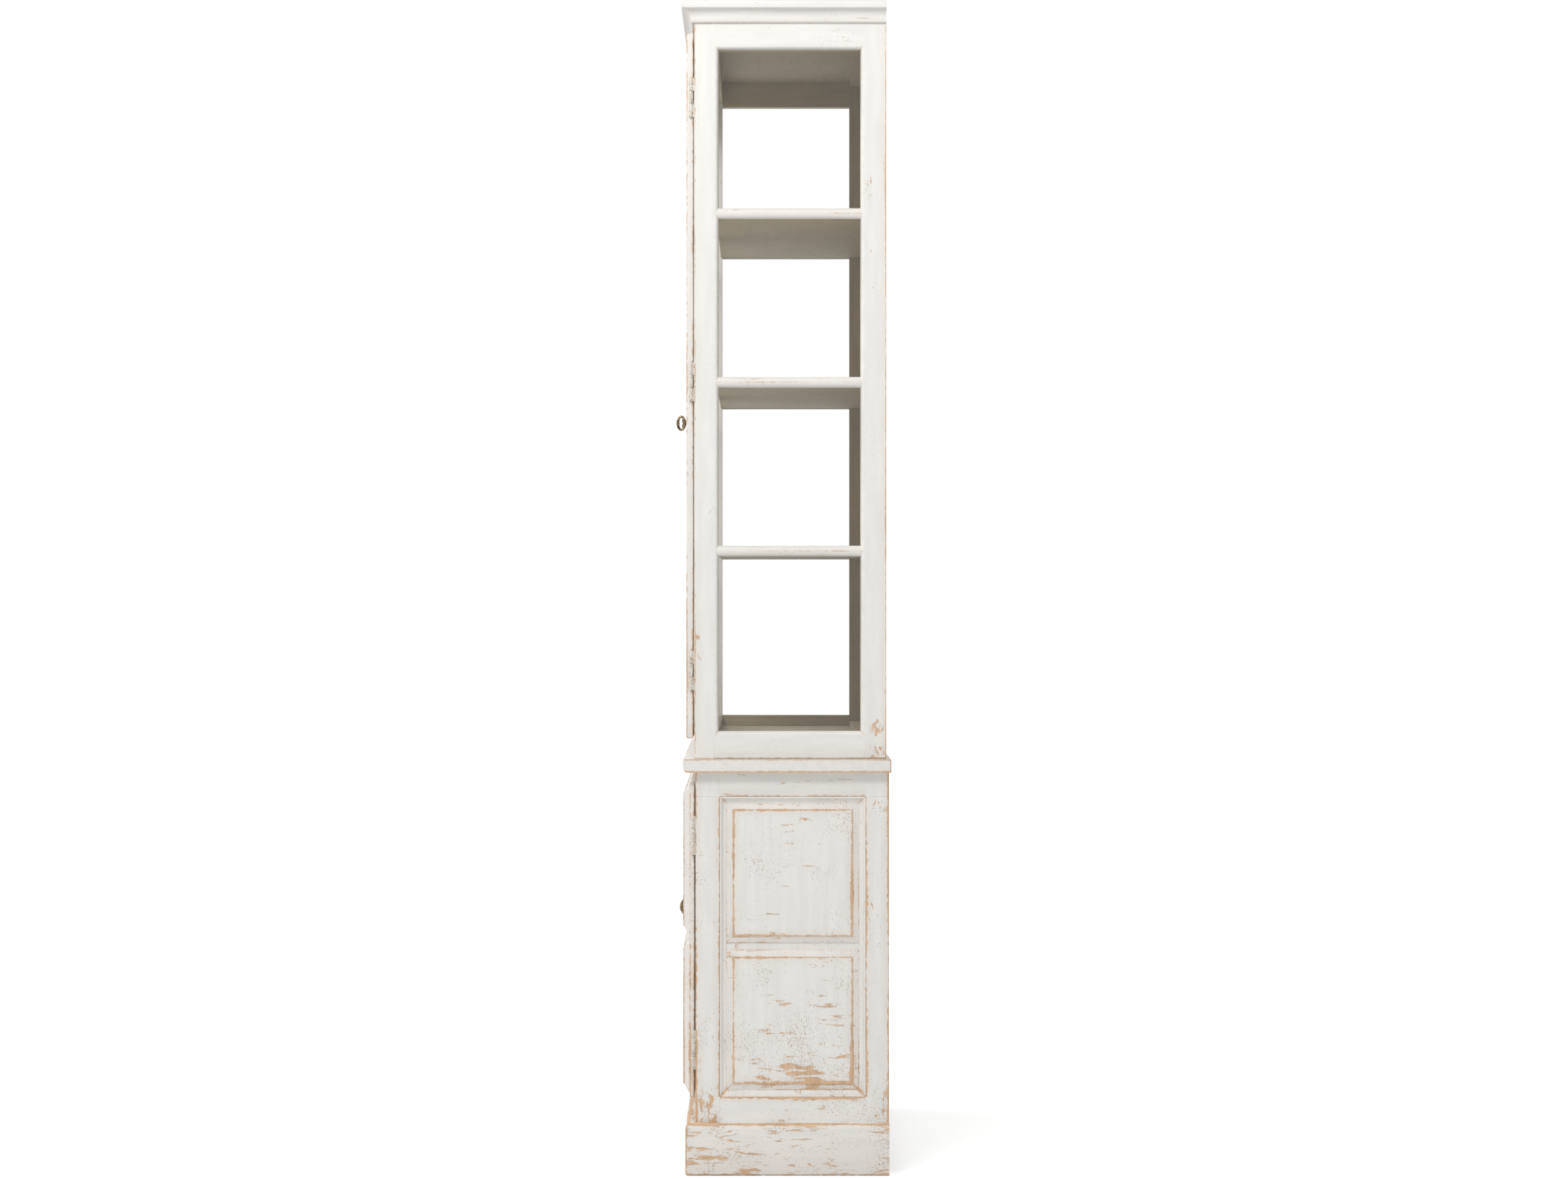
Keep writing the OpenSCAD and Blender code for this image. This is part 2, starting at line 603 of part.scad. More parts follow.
// The rod reaches from its guides to 3 mm short of the rail
module slide_bolt(z, yb, s) translate([bolt_x, yb + bolt_off, z]) union() {
  tip = guide_off - 3;
  translate([0, 0, s > 0 ? 10 - tip : -tip]) cylinder(r = bolt_r, h = 2 * tip - 10);
  translate([0, 0, -s * 9]) rotate([-90, 0, 0]) cylinder(r = 3, h = 12);
}
ubt_z = zfo - guide_off;
ubb_z = zs0 + guide_off;
lbt_z = lfz1 - guide_off;
module udoor_left_bolt_guides() color(brass) {
  bolt_guides(ubt_z, udb);
  bolt_guides(ubb_z, udb);
}
module udoor_top_bolt() color(brass) slide_bolt(ubt_z, udb, 1);
module udoor_bottom_bolt() color(brass) slide_bolt(ubb_z, udb, -1);
module ldoor_left_bolt_guide() color(brass) bolt_guides(lbt_z, ldb);
module ldoor_top_bolt() color(brass) slide_bolt(lbt_z, ldb, 1);

upper_post_front_right();
upper_post_front_left();
upper_posts_back();
upper_front_rails();
upper_side_rails_right();
upper_side_rails_left();
upper_back_rails();
ceiling_board();
upper_floor_board();
upper_shelves();
upper_back_panel();
side_glass();
side_glazing_right();
side_glazing_left();
crown_front();
crown_sides();
lower_posts_front();
lower_posts_back();
lower_front_rails();
lower_side_rails();
side_boards();
side_panels_right();
side_panels_left();
side_mouldings();
lower_back_rails();
lower_back_panel();
lower_bottom_board();
lower_shelf();
waist_board();
plinth_front();
plinth_sides();
hinge_leaves_case();
udoor_right_stiles();
udoor_right_rails();
udoor_right_glass();
udoor_right_glazing();
udoor_right_hinges();
udoor_left_stiles();
udoor_left_rails();
udoor_left_glass();
udoor_left_glazing();
udoor_left_hinges();
ldoor_right_board();
ldoor_right_panels();
ldoor_right_hinges();
ldoor_left_board();
ldoor_left_panels();
ldoor_left_hinges();
upper_lock();
upper_lock_bolt();
upper_key();
lower_lock();
lower_lock_bolt();
lower_key();
udoor_left_bolt_guides();
udoor_top_bolt();
udoor_bottom_bolt();
ldoor_left_bolt_guide();
ldoor_top_bolt();
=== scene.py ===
import math
import bmesh
import bpy
from mathutils import Matrix, Vector, noise


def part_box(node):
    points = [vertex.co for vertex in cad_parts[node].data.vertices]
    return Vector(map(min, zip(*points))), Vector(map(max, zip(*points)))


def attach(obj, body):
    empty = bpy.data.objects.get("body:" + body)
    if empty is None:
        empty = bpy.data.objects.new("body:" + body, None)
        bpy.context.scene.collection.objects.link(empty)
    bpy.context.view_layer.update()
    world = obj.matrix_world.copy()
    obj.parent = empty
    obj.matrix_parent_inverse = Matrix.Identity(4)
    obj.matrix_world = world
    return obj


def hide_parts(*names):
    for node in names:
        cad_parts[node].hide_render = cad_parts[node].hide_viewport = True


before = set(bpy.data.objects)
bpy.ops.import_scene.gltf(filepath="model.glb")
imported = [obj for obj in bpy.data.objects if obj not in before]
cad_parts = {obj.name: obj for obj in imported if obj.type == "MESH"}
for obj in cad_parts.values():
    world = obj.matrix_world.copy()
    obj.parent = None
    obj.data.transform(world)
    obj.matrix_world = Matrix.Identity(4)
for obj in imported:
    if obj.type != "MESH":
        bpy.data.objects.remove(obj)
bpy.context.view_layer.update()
scene = bpy.context.scene


# places, all read from the frame

def cadBox(node):
    lo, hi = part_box(node)
    return Vector(lo), Vector(hi)


postLo, postHi = cadBox("upper_post_front_right")
backLo, backHi = cadBox("upper_posts_back")
sideLo, sideHi = cadBox("side_glazing_right")
lowFrontLo, lowFrontHi = cadBox("lower_posts_front")
lowBackLo, lowBackHi = cadBox("lower_posts_back")
recessLo, recessHi = cadBox("side_mouldings")
waistLo, waistHi = cadBox("waist_board")
crownLo, crownHi = cadBox("crown_front")
plinthHi = cadBox("plinth_front")[1]
joinery = {
    "strip": 0.008,        # width of the glazing moulding
    "rebate": 0.017,       # depth of the side rebate
    "glass": 0.003,
    "bar": 0.021,          # width of a glazing bar
    "backRebate": 0.020,   # post left outside the back panel
    "backPanel": 0.008,
    "backRailTop": 0.028,  # rails behind the upper panel, as tall as this
    "backRailFoot": 0.041,
    "lowBackRail": 0.050,
    "lowSideRail": 0.030,  # thickness
    "housing": 0.004,      # shelves let into the posts
    "boltHole": 0.0048,    # for the slide bolts: radius
    "boltDeep": 0.014,
    "boltAxis": 0.004,
    "boltClear": 0.003,    # front rails end this far over a drawn bolt
}
sideX, innerX = postHi.x, postLo.x
upFront, upOpenFront = postLo.y, postHi.y
upOpenBack, upBack = backLo.y, backHi.y
upFoot, upTop = postLo.z, postHi.z
openLow = sideLo.z + joinery["strip"]
openHigh = sideHi.z - joinery["strip"]
loFront, loOpenFront = lowFrontLo.y, lowFrontHi.y
loOpenBack, loBack = lowBackLo.y, lowBackHi.y
recessLow, recessHigh = recessLo.z, recessHi.z
waistFoot = waistLo.z
plinthTop = plinthHi.z


# small node helpers

def addNode(tree, kind, inputs=None, **props):
    node = tree.nodes.new(kind)
    for key, value in props.items():
        setattr(node, key, value)
    for key, value in (inputs or {}).items():
        if isinstance(value, bpy.types.NodeSocket):
            tree.links.new(value, node.inputs[key])
        else:
            node.inputs[key].default_value = value
    return node


def calc(tree, operation, a, b=0.0, c=0.0):
    node = addNode(tree, "ShaderNodeMath", {0: a, 1: b, 2: c}, operation=operation)
    return node.outputs[0]


def noiseValue(tree, vector, scale, detail=3.0, rough=0.5, distortion=0.0):
    node = addNode(tree, "ShaderNodeTexNoise", {
        "Vector": vector, "Scale": scale, "Detail": detail, "Roughness": rough,
        "Distortion": distortion})
    return node.outputs[0]


def ramp(tree, value, low, high, toLow=0.0, toHigh=1.0):
    node = addNode(tree, "ShaderNodeMapRange", {
        "Value": value, "From Min": low, "From Max": high, "To Min": toLow, "To Max": toHigh},
        interpolation_type="SMOOTHSTEP")
    return node.outputs[0]


def blendColours(tree, factor, first, second):
    mix = {0: factor, 6: first, 7: second}
    return addNode(tree, "ShaderNodeMix", mix, data_type="RGBA").outputs[2]


def scaled(tree, colour, factor):
    return addNode(tree, "ShaderNodeVectorMath", {0: colour, "Scale": factor}, operation="SCALE").outputs[0]


def newGroup(name, inputs, outputs):
    tree = bpy.data.node_groups.new(name, "ShaderNodeTree")
    for label, kind in inputs:
        tree.interface.new_socket(label, in_out="INPUT", socket_type="NodeSocket" + kind)
    for label, kind in outputs:
        tree.interface.new_socket(label, in_out="OUTPUT", socket_type="NodeSocket" + kind)
    return tree, tree.nodes.new("NodeGroupInput").outputs, tree.nodes.new("NodeGroupOutput").inputs


# shared effects

# places where the paint is knocked off in patches, at x = the side, as [y, z, reach]
knocks = [
    (loBack - 0.004, plinthTop + 0.030, 0.075), (loFront + 0.018, plinthTop + 0.040, 0.036),
    (loFront + 0.030, plinthTop + 0.004, 0.035), (upBack - 0.014, upFoot + 0.010, 0.040),
    (upBack - 0.020, upFoot + 0.060, 0.030), (0.020, recessLow + 0.042, 0.046),
    (0.062, recessLow + 0.040, 0.040), (-0.030, recessLow + 0.034, 0.035),
    (loBack - 0.020, recessHigh - 0.020, 0.030),
]


# how fine each pattern of the worn paint is, in waves to the metre
wearScale = {
    "zone": 4.3,        # stretches of an arris worn more or less
    "blotch": 8.0,
    "patch": 13.0,
    "streak": 60.0,     # brush marks
    "wobble": 85.0,     # the wandering edge of the paint
    "chips": 105.0,
    "figure": 150.0,    # the wood's grain
    "specks": 500.0,
    "grit": 520.0,
}


def buildWornPaint():
    # paint over wood: rubbed through along the arrises, flaked low down, speckled all over
    tree, given, out = newGroup("wornPaint", [
        ("Point", "Vector"), ("Grain", "Vector"), ("Chip", "Vector"), ("Edge", "Color"),
        ("Edge Alpha", "Float"), ("Rub", "Float"), ("Flake", "Float"), ("Speck", "Float"),
        ("Paint", "Color"), ("Wood", "Color")],
        [("Color", "Color"), ("Roughness", "Float"), ("Height", "Float")])
    point, grain, rub = given["Point"], given["Grain"], given["Rub"]
    zone = noiseValue(tree, point, wearScale["zone"], 3.0)
    patch = noiseValue(tree, point, wearScale["patch"], 2.0)
    wobble = noiseValue(tree, point, wearScale["wobble"], 3.0, 0.6)
    grit = noiseValue(tree, grain, wearScale["grit"], 3.0, 0.6)
    streak = noiseValue(tree, grain, wearScale["streak"], 5.0, 0.6)
    height = addNode(tree, "ShaderNodeSeparateXYZ", {0: point})
    low = ramp(tree, height.outputs[2], 1.0, 0.05)
    edges = addNode(tree, "ShaderNodeSeparateColor", {0: given["Edge"]}).outputs
    nearest = calc(tree, "MINIMUM", calc(tree, "MINIMUM", edges[0], edges[1]),
                   calc(tree, "MINIMUM", edges[2], given["Edge Alpha"]))
    # how far the paint is gone at this spot, in metres from the arris
    reach = calc(tree, "MULTIPLY_ADD", zone, 5.2, -2.10)
    reach = calc(tree, "ADD", reach, calc(tree, "MULTIPLY", low, 0.35))
    reach = calc(tree, "MULTIPLY_ADD", calc(tree, "SUBTRACT", wobble, 0.5), 3.2, reach)
    reach = calc(tree, "MULTIPLY_ADD", calc(tree, "SUBTRACT", grit, 0.5), 1.6, reach)
    over = calc(tree, "SUBTRACT", nearest, calc(tree, "MULTIPLY", reach, rub))
    rubbed = ramp(tree, over, 0.0003, -0.0003)
    mirrored = addNode(tree, "ShaderNodeCombineXYZ", {
        0: calc(tree, "ABSOLUTE", height.outputs[0]), 1: height.outputs[1], 2: height.outputs[2]})
    knocked = None
    for y, z, size in knocks:
        away = addNode(tree, "ShaderNodeVectorMath", {0: mirrored.outputs[0], 1: (sideX, y, z)},
                       operation="DISTANCE").outputs["Value"]
        spot = ramp(tree, away, size, size * 0.2)
        knocked = spot if knocked is None else calc(tree, "MAXIMUM", knocked, spot)
    flakes = noiseValue(tree, given["Chip"], wearScale["chips"], 9.0, 0.66, 0.5)
    flakes = calc(tree, "MULTIPLY_ADD", calc(tree, "SUBTRACT", grit, 0.5), 0.30, flakes)
    blotch = noiseValue(tree, point, wearScale["blotch"], 3.0)
    flakes = calc(tree, "MULTIPLY_ADD", knocked, 0.135, flakes)
    flakes = calc(tree, "MULTIPLY_ADD", calc(tree, "SUBTRACT", blotch, 0.5), 0.42, flakes)
    flakes = calc(tree, "MULTIPLY_ADD", calc(tree, "MULTIPLY", low, given["Flake"]), 0.036, flakes)
    flaked = ramp(tree, flakes, 0.700, 0.710)
    fine = addNode(tree, "ShaderNodeMix", {0: 0.35, 4: grain, 5: point}, data_type="VECTOR")
    fine = fine.outputs[1]
    specks = noiseValue(tree, fine, wearScale["specks"], 2.0, 0.55, 0.1)
    gather = calc(tree, "MULTIPLY", given["Speck"], 0.40)
    specks = calc(tree, "MULTIPLY_ADD", calc(tree, "SUBTRACT", patch, 0.5), gather, specks)
    specks = calc(tree, "MULTIPLY_ADD", low, 0.052, specks)
    specks = calc(tree, "MULTIPLY_ADD", knocked, 0.05, specks)
    specked = ramp(tree, specks, 0.712, 0.730)
    bare = calc(tree, "MAXIMUM", rubbed, flaked)
    # colours
    tone = ramp(tree, streak, 0.30, 0.72, 0.955, 1.02)
    handled = calc(tree, "MULTIPLY_ADD", rub, 160.0, 0.12)
    warm = calc(tree, "MULTIPLY", ramp(tree, nearest, 0.018, 0.001), handled)
    warm = calc(tree, "MULTIPLY", warm, zone)
    thinned = calc(tree, "MULTIPLY", ramp(tree, over, 0.0024, 0.0), 0.42)
    warm = calc(tree, "MAXIMUM", warm, thinned)
    painted = blendColours(tree, warm, scaled(tree, given["Paint"], tone), (0.72, 0.60, 0.50, 1))
    figure = noiseValue(tree, grain, wearScale["figure"], 5.0, 0.6)
    shade = ramp(tree, figure, 0.30, 0.70, 0.82, 1.12)
    colour = blendColours(tree, calc(tree, "MULTIPLY", specked, 0.62), painted, (0.46, 0.33, 0.22, 1))
    left = ramp(tree, grit, 0.45, 0.62, 1.0, 0.80)      # paint left in the open grain
    colour = blendColours(tree, calc(tree, "MULTIPLY", bare, left), colour,
                          scaled(tree, given["Wood"], shade))
    tree.links.new(colour, out["Color"])
    matt = calc(tree, "MULTIPLY_ADD", streak, 0.2, 0.44)
    tree.links.new(calc(tree, "MULTIPLY_ADD", bare, 0.22, matt), out["Roughness"])
    gone = calc(tree, "MAXIMUM", bare, calc(tree, "MULTIPLY", specked, 0.7))
    relief = calc(tree, "MULTIPLY_ADD", streak, 0.35, calc(tree, "SUBTRACT", 1.0, gone))
    tree.links.new(calc(tree, "MULTIPLY_ADD", figure, 0.12, relief), out["Height"])
    return tree


def buildBrushed():
    # flat paint laid on with a brush, a little patchy
    tree, given, out = newGroup(
        "brushedPaint", [("Point", "Vector"), ("Grain", "Vector"), ("Paint", "Color")],
        [("Color", "Color"), ("Height", "Float")])
    streak = noiseValue(tree, given["Grain"], 85.0, 6.0, 0.65)
    cloud = noiseValue(tree, given["Point"], 6.0, 3.0)
    cloudy = ramp(tree, cloud, 0.3, 0.7, -0.03, 0.03)
    tone = calc(tree, "ADD", ramp(tree, streak, 0.28, 0.74, 0.88, 1.06), cloudy)
    tree.links.new(scaled(tree, given["Paint"], tone), out["Color"])
    tree.links.new(streak, out["Height"])
    return tree


wornPaint = buildWornPaint()
brushedPaint = buildBrushed()
print("shared shader groups built")


# materials

grainScale = {"x": (0.15, 1, 1), "y": (1, 0.15, 1), "z": (1, 1, 0.15)}
chipScale = {"x": (0.18, 1, 1), "y": (1, 0.18, 1), "z": (0.8, 0.8, 0.40)}


def newMaterial(name):
    material = bpy.data.materials.new(name)
    material.use_nodes = True
    tree = material.node_tree
    return material, tree, tree.nodes["Principled BSDF"]


def grainOf(tree, axis):
    point = addNode(tree, "ShaderNodeTexCoord").outputs["Object"]
    grain = addNode(tree, "ShaderNodeMapping", {"Vector": point, "Scale": grainScale[axis]})
    return point, grain.outputs[0]


def bumpFrom(tree, shader, height, distance, strength):
    bump = addNode(tree, "ShaderNodeBump", {"Height": height, "Distance": distance, "Strength": strength})
    tree.links.new(bump.outputs[0], shader.inputs["Normal"])


paintLook = {
    "paint": (0.815, 0.80, 0.765, 1),
    "wood": (0.65, 0.43, 0.26, 1),
    "inner": (0.41, 0.337, 0.205, 1),
    "rub": 0.0013,       # width worn off a common arris
    "flake": 1.0,
    "speck": 1.0,
}


def distressedPaint(name, axis, chipAxis=None, rub=1.0, flake=1.0, speck=1.0):
    material, tree, shader = newMaterial(name)
    point, grain = grainOf(tree, axis)
    chip = addNode(tree, "ShaderNodeMapping", {"Vector": point, "Scale": chipScale[chipAxis or axis]})
    edge = addNode(tree, "ShaderNodeAttribute", attribute_name="edge")
    values = {"Point": point, "Grain": grain, "Chip": chip.outputs[0], "Rub": paintLook["rub"] * rub,
              "Flake": flake * paintLook["flake"], "Speck": paintLook["speck"] * speck,
              "Paint": paintLook["paint"], "Wood": paintLook["wood"],
              "Edge": edge.outputs["Color"], "Edge Alpha": edge.outputs["Alpha"]}
    worn = addNode(tree, "ShaderNodeGroup", values, node_tree=wornPaint)
    tree.links.new(worn.outputs["Color"], shader.inputs["Base Color"])
    tree.links.new(worn.outputs["Roughness"], shader.inputs["Roughness"])
    shader.inputs["Specular IOR Level"].default_value = 0.35
    bumpFrom(tree, shader, worn.outputs["Height"], 0.0005, 0.55)
    return material


def interiorPaint(axis):
    material, tree, shader = newMaterial("interiorPaint_" + axis)
    point, grain = grainOf(tree, axis)
    coat = addNode(tree, "ShaderNodeGroup", {"Point": point, "Grain": grain, "Paint": paintLook["inner"]},
                   node_tree=brushedPaint)
    tree.links.new(coat.outputs["Color"], shader.inputs["Base Color"])
    shader.inputs["Roughness"].default_value = 0.62
    bumpFrom(tree, shader, coat.outputs["Height"], 0.0004, 0.35)
    return material


def clearGlass():
    # window glass; light that falls through it goes straight on
    material, tree, shader = newMaterial("clearGlass")
    point = addNode(tree, "ShaderNodeTexCoord").outputs["Object"]
    smear = ramp(tree, noiseValue(tree, point, 7.0, 4.0), 0.35, 0.75, 0.0, 0.012)
    tree.links.new(smear, shader.inputs["Roughness"])
    shader.inputs["Base Color"].default_value = (0.996, 1.0, 0.998, 1)
    shader.inputs["Metallic"].default_value = 0.0
    shader.inputs["Transmission Weight"].default_value = 1.0
    shader.inputs["IOR"].default_value = 1.45
    rays = addNode(tree, "ShaderNodeLightPath").outputs
    falling = calc(tree, "MAXIMUM", rays["Is Shadow Ray"], rays["Is Diffuse Ray"])
    clear = addNode(tree, "ShaderNodeBsdfTransparent")
    both = addNode(tree, "ShaderNodeMixShader", {0: falling, 1: shader.outputs[0], 2: clear.outputs[0]})
    tree.links.new(both.outputs[0], tree.nodes["Material Output"].inputs["Surface"])
    return material


def metal(name, colour, dull, rough, scale=90.0):
    material, tree, shader = newMaterial(name)
    point = addNode(tree, "ShaderNodeTexCoord").outputs["Object"]
    tarnish = ramp(tree, noiseValue(tree, point, scale, 6.0, 0.65), 0.36, 0.66)
    tree.links.new(blendColours(tree, tarnish, colour, dull), shader.inputs["Base Color"])
    tree.links.new(calc(tree, "MULTIPLY_ADD", tarnish, 0.22, rough), shader.inputs["Roughness"])
    shader.inputs["Metallic"].default_value = 1.0
    bumpFrom(tree, shader, noiseValue(tree, point, scale * 9, 3.0), 0.0002, 0.3)
    return material


def paintedHinge():
    # paint brushed over steel, chipped to dark metal
    material, tree, shader = newMaterial("paintedHinge")
    point = addNode(tree, "ShaderNodeTexCoord").outputs["Object"]
    chips = noiseValue(tree, point, 260.0, 5.0, 0.6)
    chipped = ramp(tree, chips, 0.590, 0.625)
    soiled = ramp(tree, noiseValue(tree, point, 90.0, 4.0), 0.4, 0.65)
    coat = blendColours(tree, soiled, (0.70, 0.665, 0.60, 1), (0.61, 0.53, 0.43, 1))
    tree.links.new(blendColours(tree, chipped, coat, (0.15, 0.12, 0.09, 1)), shader.inputs["Base Color"])
    tree.links.new(calc(tree, "MULTIPLY", chipped, 0.75), shader.inputs["Metallic"])
    shader.inputs["Roughness"].default_value = 0.5
    bumpFrom(tree, shader, calc(tree, "SUBTRACT", 1.0, chipped), 0.0003, 0.6)
    return material


glassLook = clearGlass()
keyBrass = metal("antiqueBrass", (0.33, 0.245, 0.14, 1), (0.075, 0.052, 0.03, 1), 0.30, 170.0)
darkSteel = metal("darkSteel", (0.33, 0.31, 0.28, 1), (0.13, 0.11, 0.09, 1), 0.34)
wornSteel = metal("wornSteel", (0.56, 0.53, 0.48, 1), (0.28, 0.25, 0.21, 1), 0.28)
hingePaint = paintedHinge()
print("materials built")


# shaping helpers

axisIndex = {"x": 0, "y": 1, "z": 2}
everyArris = [a + b for a in ("+x", "-x") for b in ("+y", "-y", "+z", "-z")]
everyArris += [a + b for a in ("+y", "-y") for b in ("+z", "-z")]
allFaces = "+x -x +y -y +z -z"
grainStep = 0.045      # boards are cut this often along their length
slack = 0.0005         # shelves stand this clear of the posts


def sidesOf(arris):
    return [(axisIndex[arris[i + 1]], 1 if arris[i] == "+" else -1) for i in (0, 2)]


def flipped(text):
    return text.translate(str.maketrans("+-", "-+"))


def flipX(text):
    # the same edge or face on the mirrored side
    parts = [text[i:i + 2] for i in range(0, len(text), 2)]
    return "".join(flipped(p) if p[1] == "x" else p for p in parts)


def fresh(bm, old):
    return [f for f in bm.faces if f not in old]


def cutAlong(bm, faces, axis, lo, hi, step):
    # even cuts across a length, so that hand-worn edges can wander
    count = int((hi - lo) / step)
    normal = Vector((0, 0, 0))
    normal[axis] = 1
    old = set(bm.faces) - set(faces)
    for k in range(1, count):
        faces = fresh(bm, old)
        geometry = list(faces) + list({e for f in faces for e in f.edges})
        geometry += list({v for f in faces for v in f.verts})
        place = Vector((0, 0, 0))
        place[axis] = lo + (hi - lo) * k / count
        bmesh.ops.bisect_plane(bm, geom=geometry, dist=1e-6, plane_co=place, plane_no=normal)


def wearLayer(bm):
    # distances to the worn arrises are kept on the face corners
    return bm.loops.layers.float_color.get("edge") or bm.loops.layers.float_color.new("edge")


def board(bm, lo, hi, worn="all", radius=0.0016, inside="", mirror=False, radii=None, wander=0.00035,
          cuts=True):
    # a board from lo to hi: worn arrises are rounded and marked, inside faces take the inner paint
    arrises = everyArris if worn == "all" else worn.split()
    inner = inside.split()
    lo, hi = Vector(lo), Vector(hi)
    if mirror:
        lo.x, hi.x = -hi.x, -lo.x
        arrises = [flipX(a) for a in arrises]
        inner = [flipX(a) for a in inner]
    radii = {flipX(k) if mirror else k: v for k, v in (radii or {}).items()}
    old = set(bm.faces)
    verts = bmesh.ops.create_cube(bm, size=1.0)["verts"]
    for v in verts:
        v.co = Vector(lo[i] + (v.co[i] + 0.5) * (hi[i] - lo[i]) for i in range(3))
    bm.normal_update()
    pairs = {frozenset(sidesOf(a)): radii.get(a, radius) for a in arrises}
    bySize = {}
    for edge in {e for v in verts for e in v.link_edges}:
        sides = frozenset((max(range(3), key=lambda i: abs(f.normal[i])),
                           1 if max(f.normal, key=abs) > 0 else -1) for f in edge.link_faces)
        if sides in pairs:
            bySize.setdefault(pairs[sides], []).append(edge)
    for size, edges in sorted(bySize.items(), reverse=True):
        live = [e for e in edges if e.is_valid]
        bmesh.ops.bevel(bm, geom=live, offset=size, offset_type="OFFSET", affect="EDGES",
                        segments=3 if size < 0.004 else 6, profile=0.5, material=-1, clamp_overlap=True)
    faces = fresh(bm, old)
    if cuts:
        longest = max(range(3), key=lambda i: hi[i] - lo[i])
        cutAlong(bm, faces, longest, lo[longest], hi[longest], grainStep)
        faces = fresh(bm, old)
    bm.normal_update()
    layer = wearLayer(bm)
    known = [(sidesOf(a), radii.get(a, radius)) for a in arrises]

    def gap(point, side):
        axis, sign = side
        return (hi[axis] - point[axis]) if sign > 0 else (point[axis] - lo[axis])

    for face in faces:
        centre = face.calc_center_median()
        ranked = sorted(known, key=lambda k: max(gap(centre, k[0][0]), gap(centre, k[0][1])))[:4]
        for loop in face.loops:
            near = [max(gap(loop.vert.co, s[0]), gap(loop.vert.co, s[1])) - 0.29 * r for s, r in ranked]
            loop[layer] = (near + [1.0] * 4)[:4]
        axis = max(range(3), key=lambda i: abs(face.normal[i]))
        name = ("+" if face.normal[axis] > 0 else "-") + "xyz"[axis]
        if name in inner and abs(face.normal[axis]) > 0.9:
            face.material_index = 1
    if wander and known:
        for v in {v for f in faces for v in f.verts}:
            if min(max(gap(v.co, s[0]), gap(v.co, s[1])) for s, r in known) < 0.006:
                push = noise.noise(v.co * 31.0) * 0.5 + noise.noise(v.co * 95.0) * 0.5
                v.co -= v.normal * wander * max(0.0, 0.5 + push)
    return faces


def run(bm, profile, origin, along, outward, upward, span, ends=(None, None), marks=(), wander=0.0003,
        sparing=0.0):
    # a moulding: profile points (out, up) swept along a line; ends shift by a function of (out, up),
    # marks are the worn points of the profile, and sparing is how far they are kept from wear
    origin, along, outward, upward = Vector(origin), Vector(along), Vector(outward), Vector(upward)
    count = max(1, int((span[1] - span[0]) / grainStep))
    startShift = ends[0] or (lambda out, up: 0.0)
    endShift = ends[1] or (lambda out, up: 0.0)
    old = set(bm.faces)

    def place(point, k):
        a = span[0] + startShift(*point)
        b = span[1] + endShift(*point)
        t = a + (b - a) * k / count
        return origin + along * t + outward * point[0] + upward * point[1]

    ring = [bm.verts.new(place(p, 0)) for p in profile]
    station = {v: (i, 0) for i, v in enumerate(ring)}
    edges = [bm.edges.new((ring[i], ring[(i + 1) % len(ring)])) for i in range(len(ring))]
    first = list(ring)
    for k in range(1, count + 1):
        made = bmesh.ops.extrude_edge_only(bm, edges=edges)["geom"]
        edges = [g for g in made if isinstance(g, bmesh.types.BMEdge)]
        after = [g for g in made if isinstance(g, bmesh.types.BMVert)]
        # new verts come with the old ones' places, so match them up by place
        spots = {tuple(round(c, 7) for c in v.co): v for v in after}
        ring = [spots[tuple(round(c, 7) for c in v.co)] for v in ring]
        for i, v in enumerate(ring):
            v.co = place(profile[i], k)
            station[v] = (i, k)
    bm.faces.new(first)
    bm.faces.new(ring)
    faces = fresh(bm, old)
    bmesh.ops.recalc_face_normals(bm, faces=faces)
    # distance along the profile from each point to the nearest marked one
    lengths = [0.0]
    for a, b in zip(profile, profile[1:]):
        lengths.append(lengths[-1] + math.dist(a, b))
    total = lengths[-1] + math.dist(profile[-1], profile[0])

    def around(i):
        gaps = [abs(lengths[i] - lengths[m]) for m in marks]
        return min([min(g, total - g) for g in gaps] or [1.0])

    layer = wearLayer(bm)
    length = span[1] - span[0]
    for face in faces:
        for loop in face.loops:
            i, k = station[loop.vert]
            fromStart = length * k / count if ends[0] else 1.0
            fromEnd = length * (count - k) / count if ends[1] else 1.0
            loop[layer] = (around(i) + sparing, fromStart + 0.0008, fromEnd + 0.0008, 1.0)
    bm.normal_update()
    for v in station:
        i, k = station[v]
        if 0 < k < count and around(i) < 0.004:
            push = noise.noise(v.co * 33.0) * 0.6 + noise.noise(v.co * 101.0) * 0.4
            v.co -= v.normal * wander * max(0.0, 0.5 + push)
    return faces


def arc(cx, cy, rx, ry, startAngle, endAngle, count):
    points = []
    for i in range(count + 1):
        angle = math.radians(startAngle + (endAngle - startAngle) * i / count)
        points.append((cx + rx * math.cos(angle), cy + ry * math.sin(angle)))
    return points


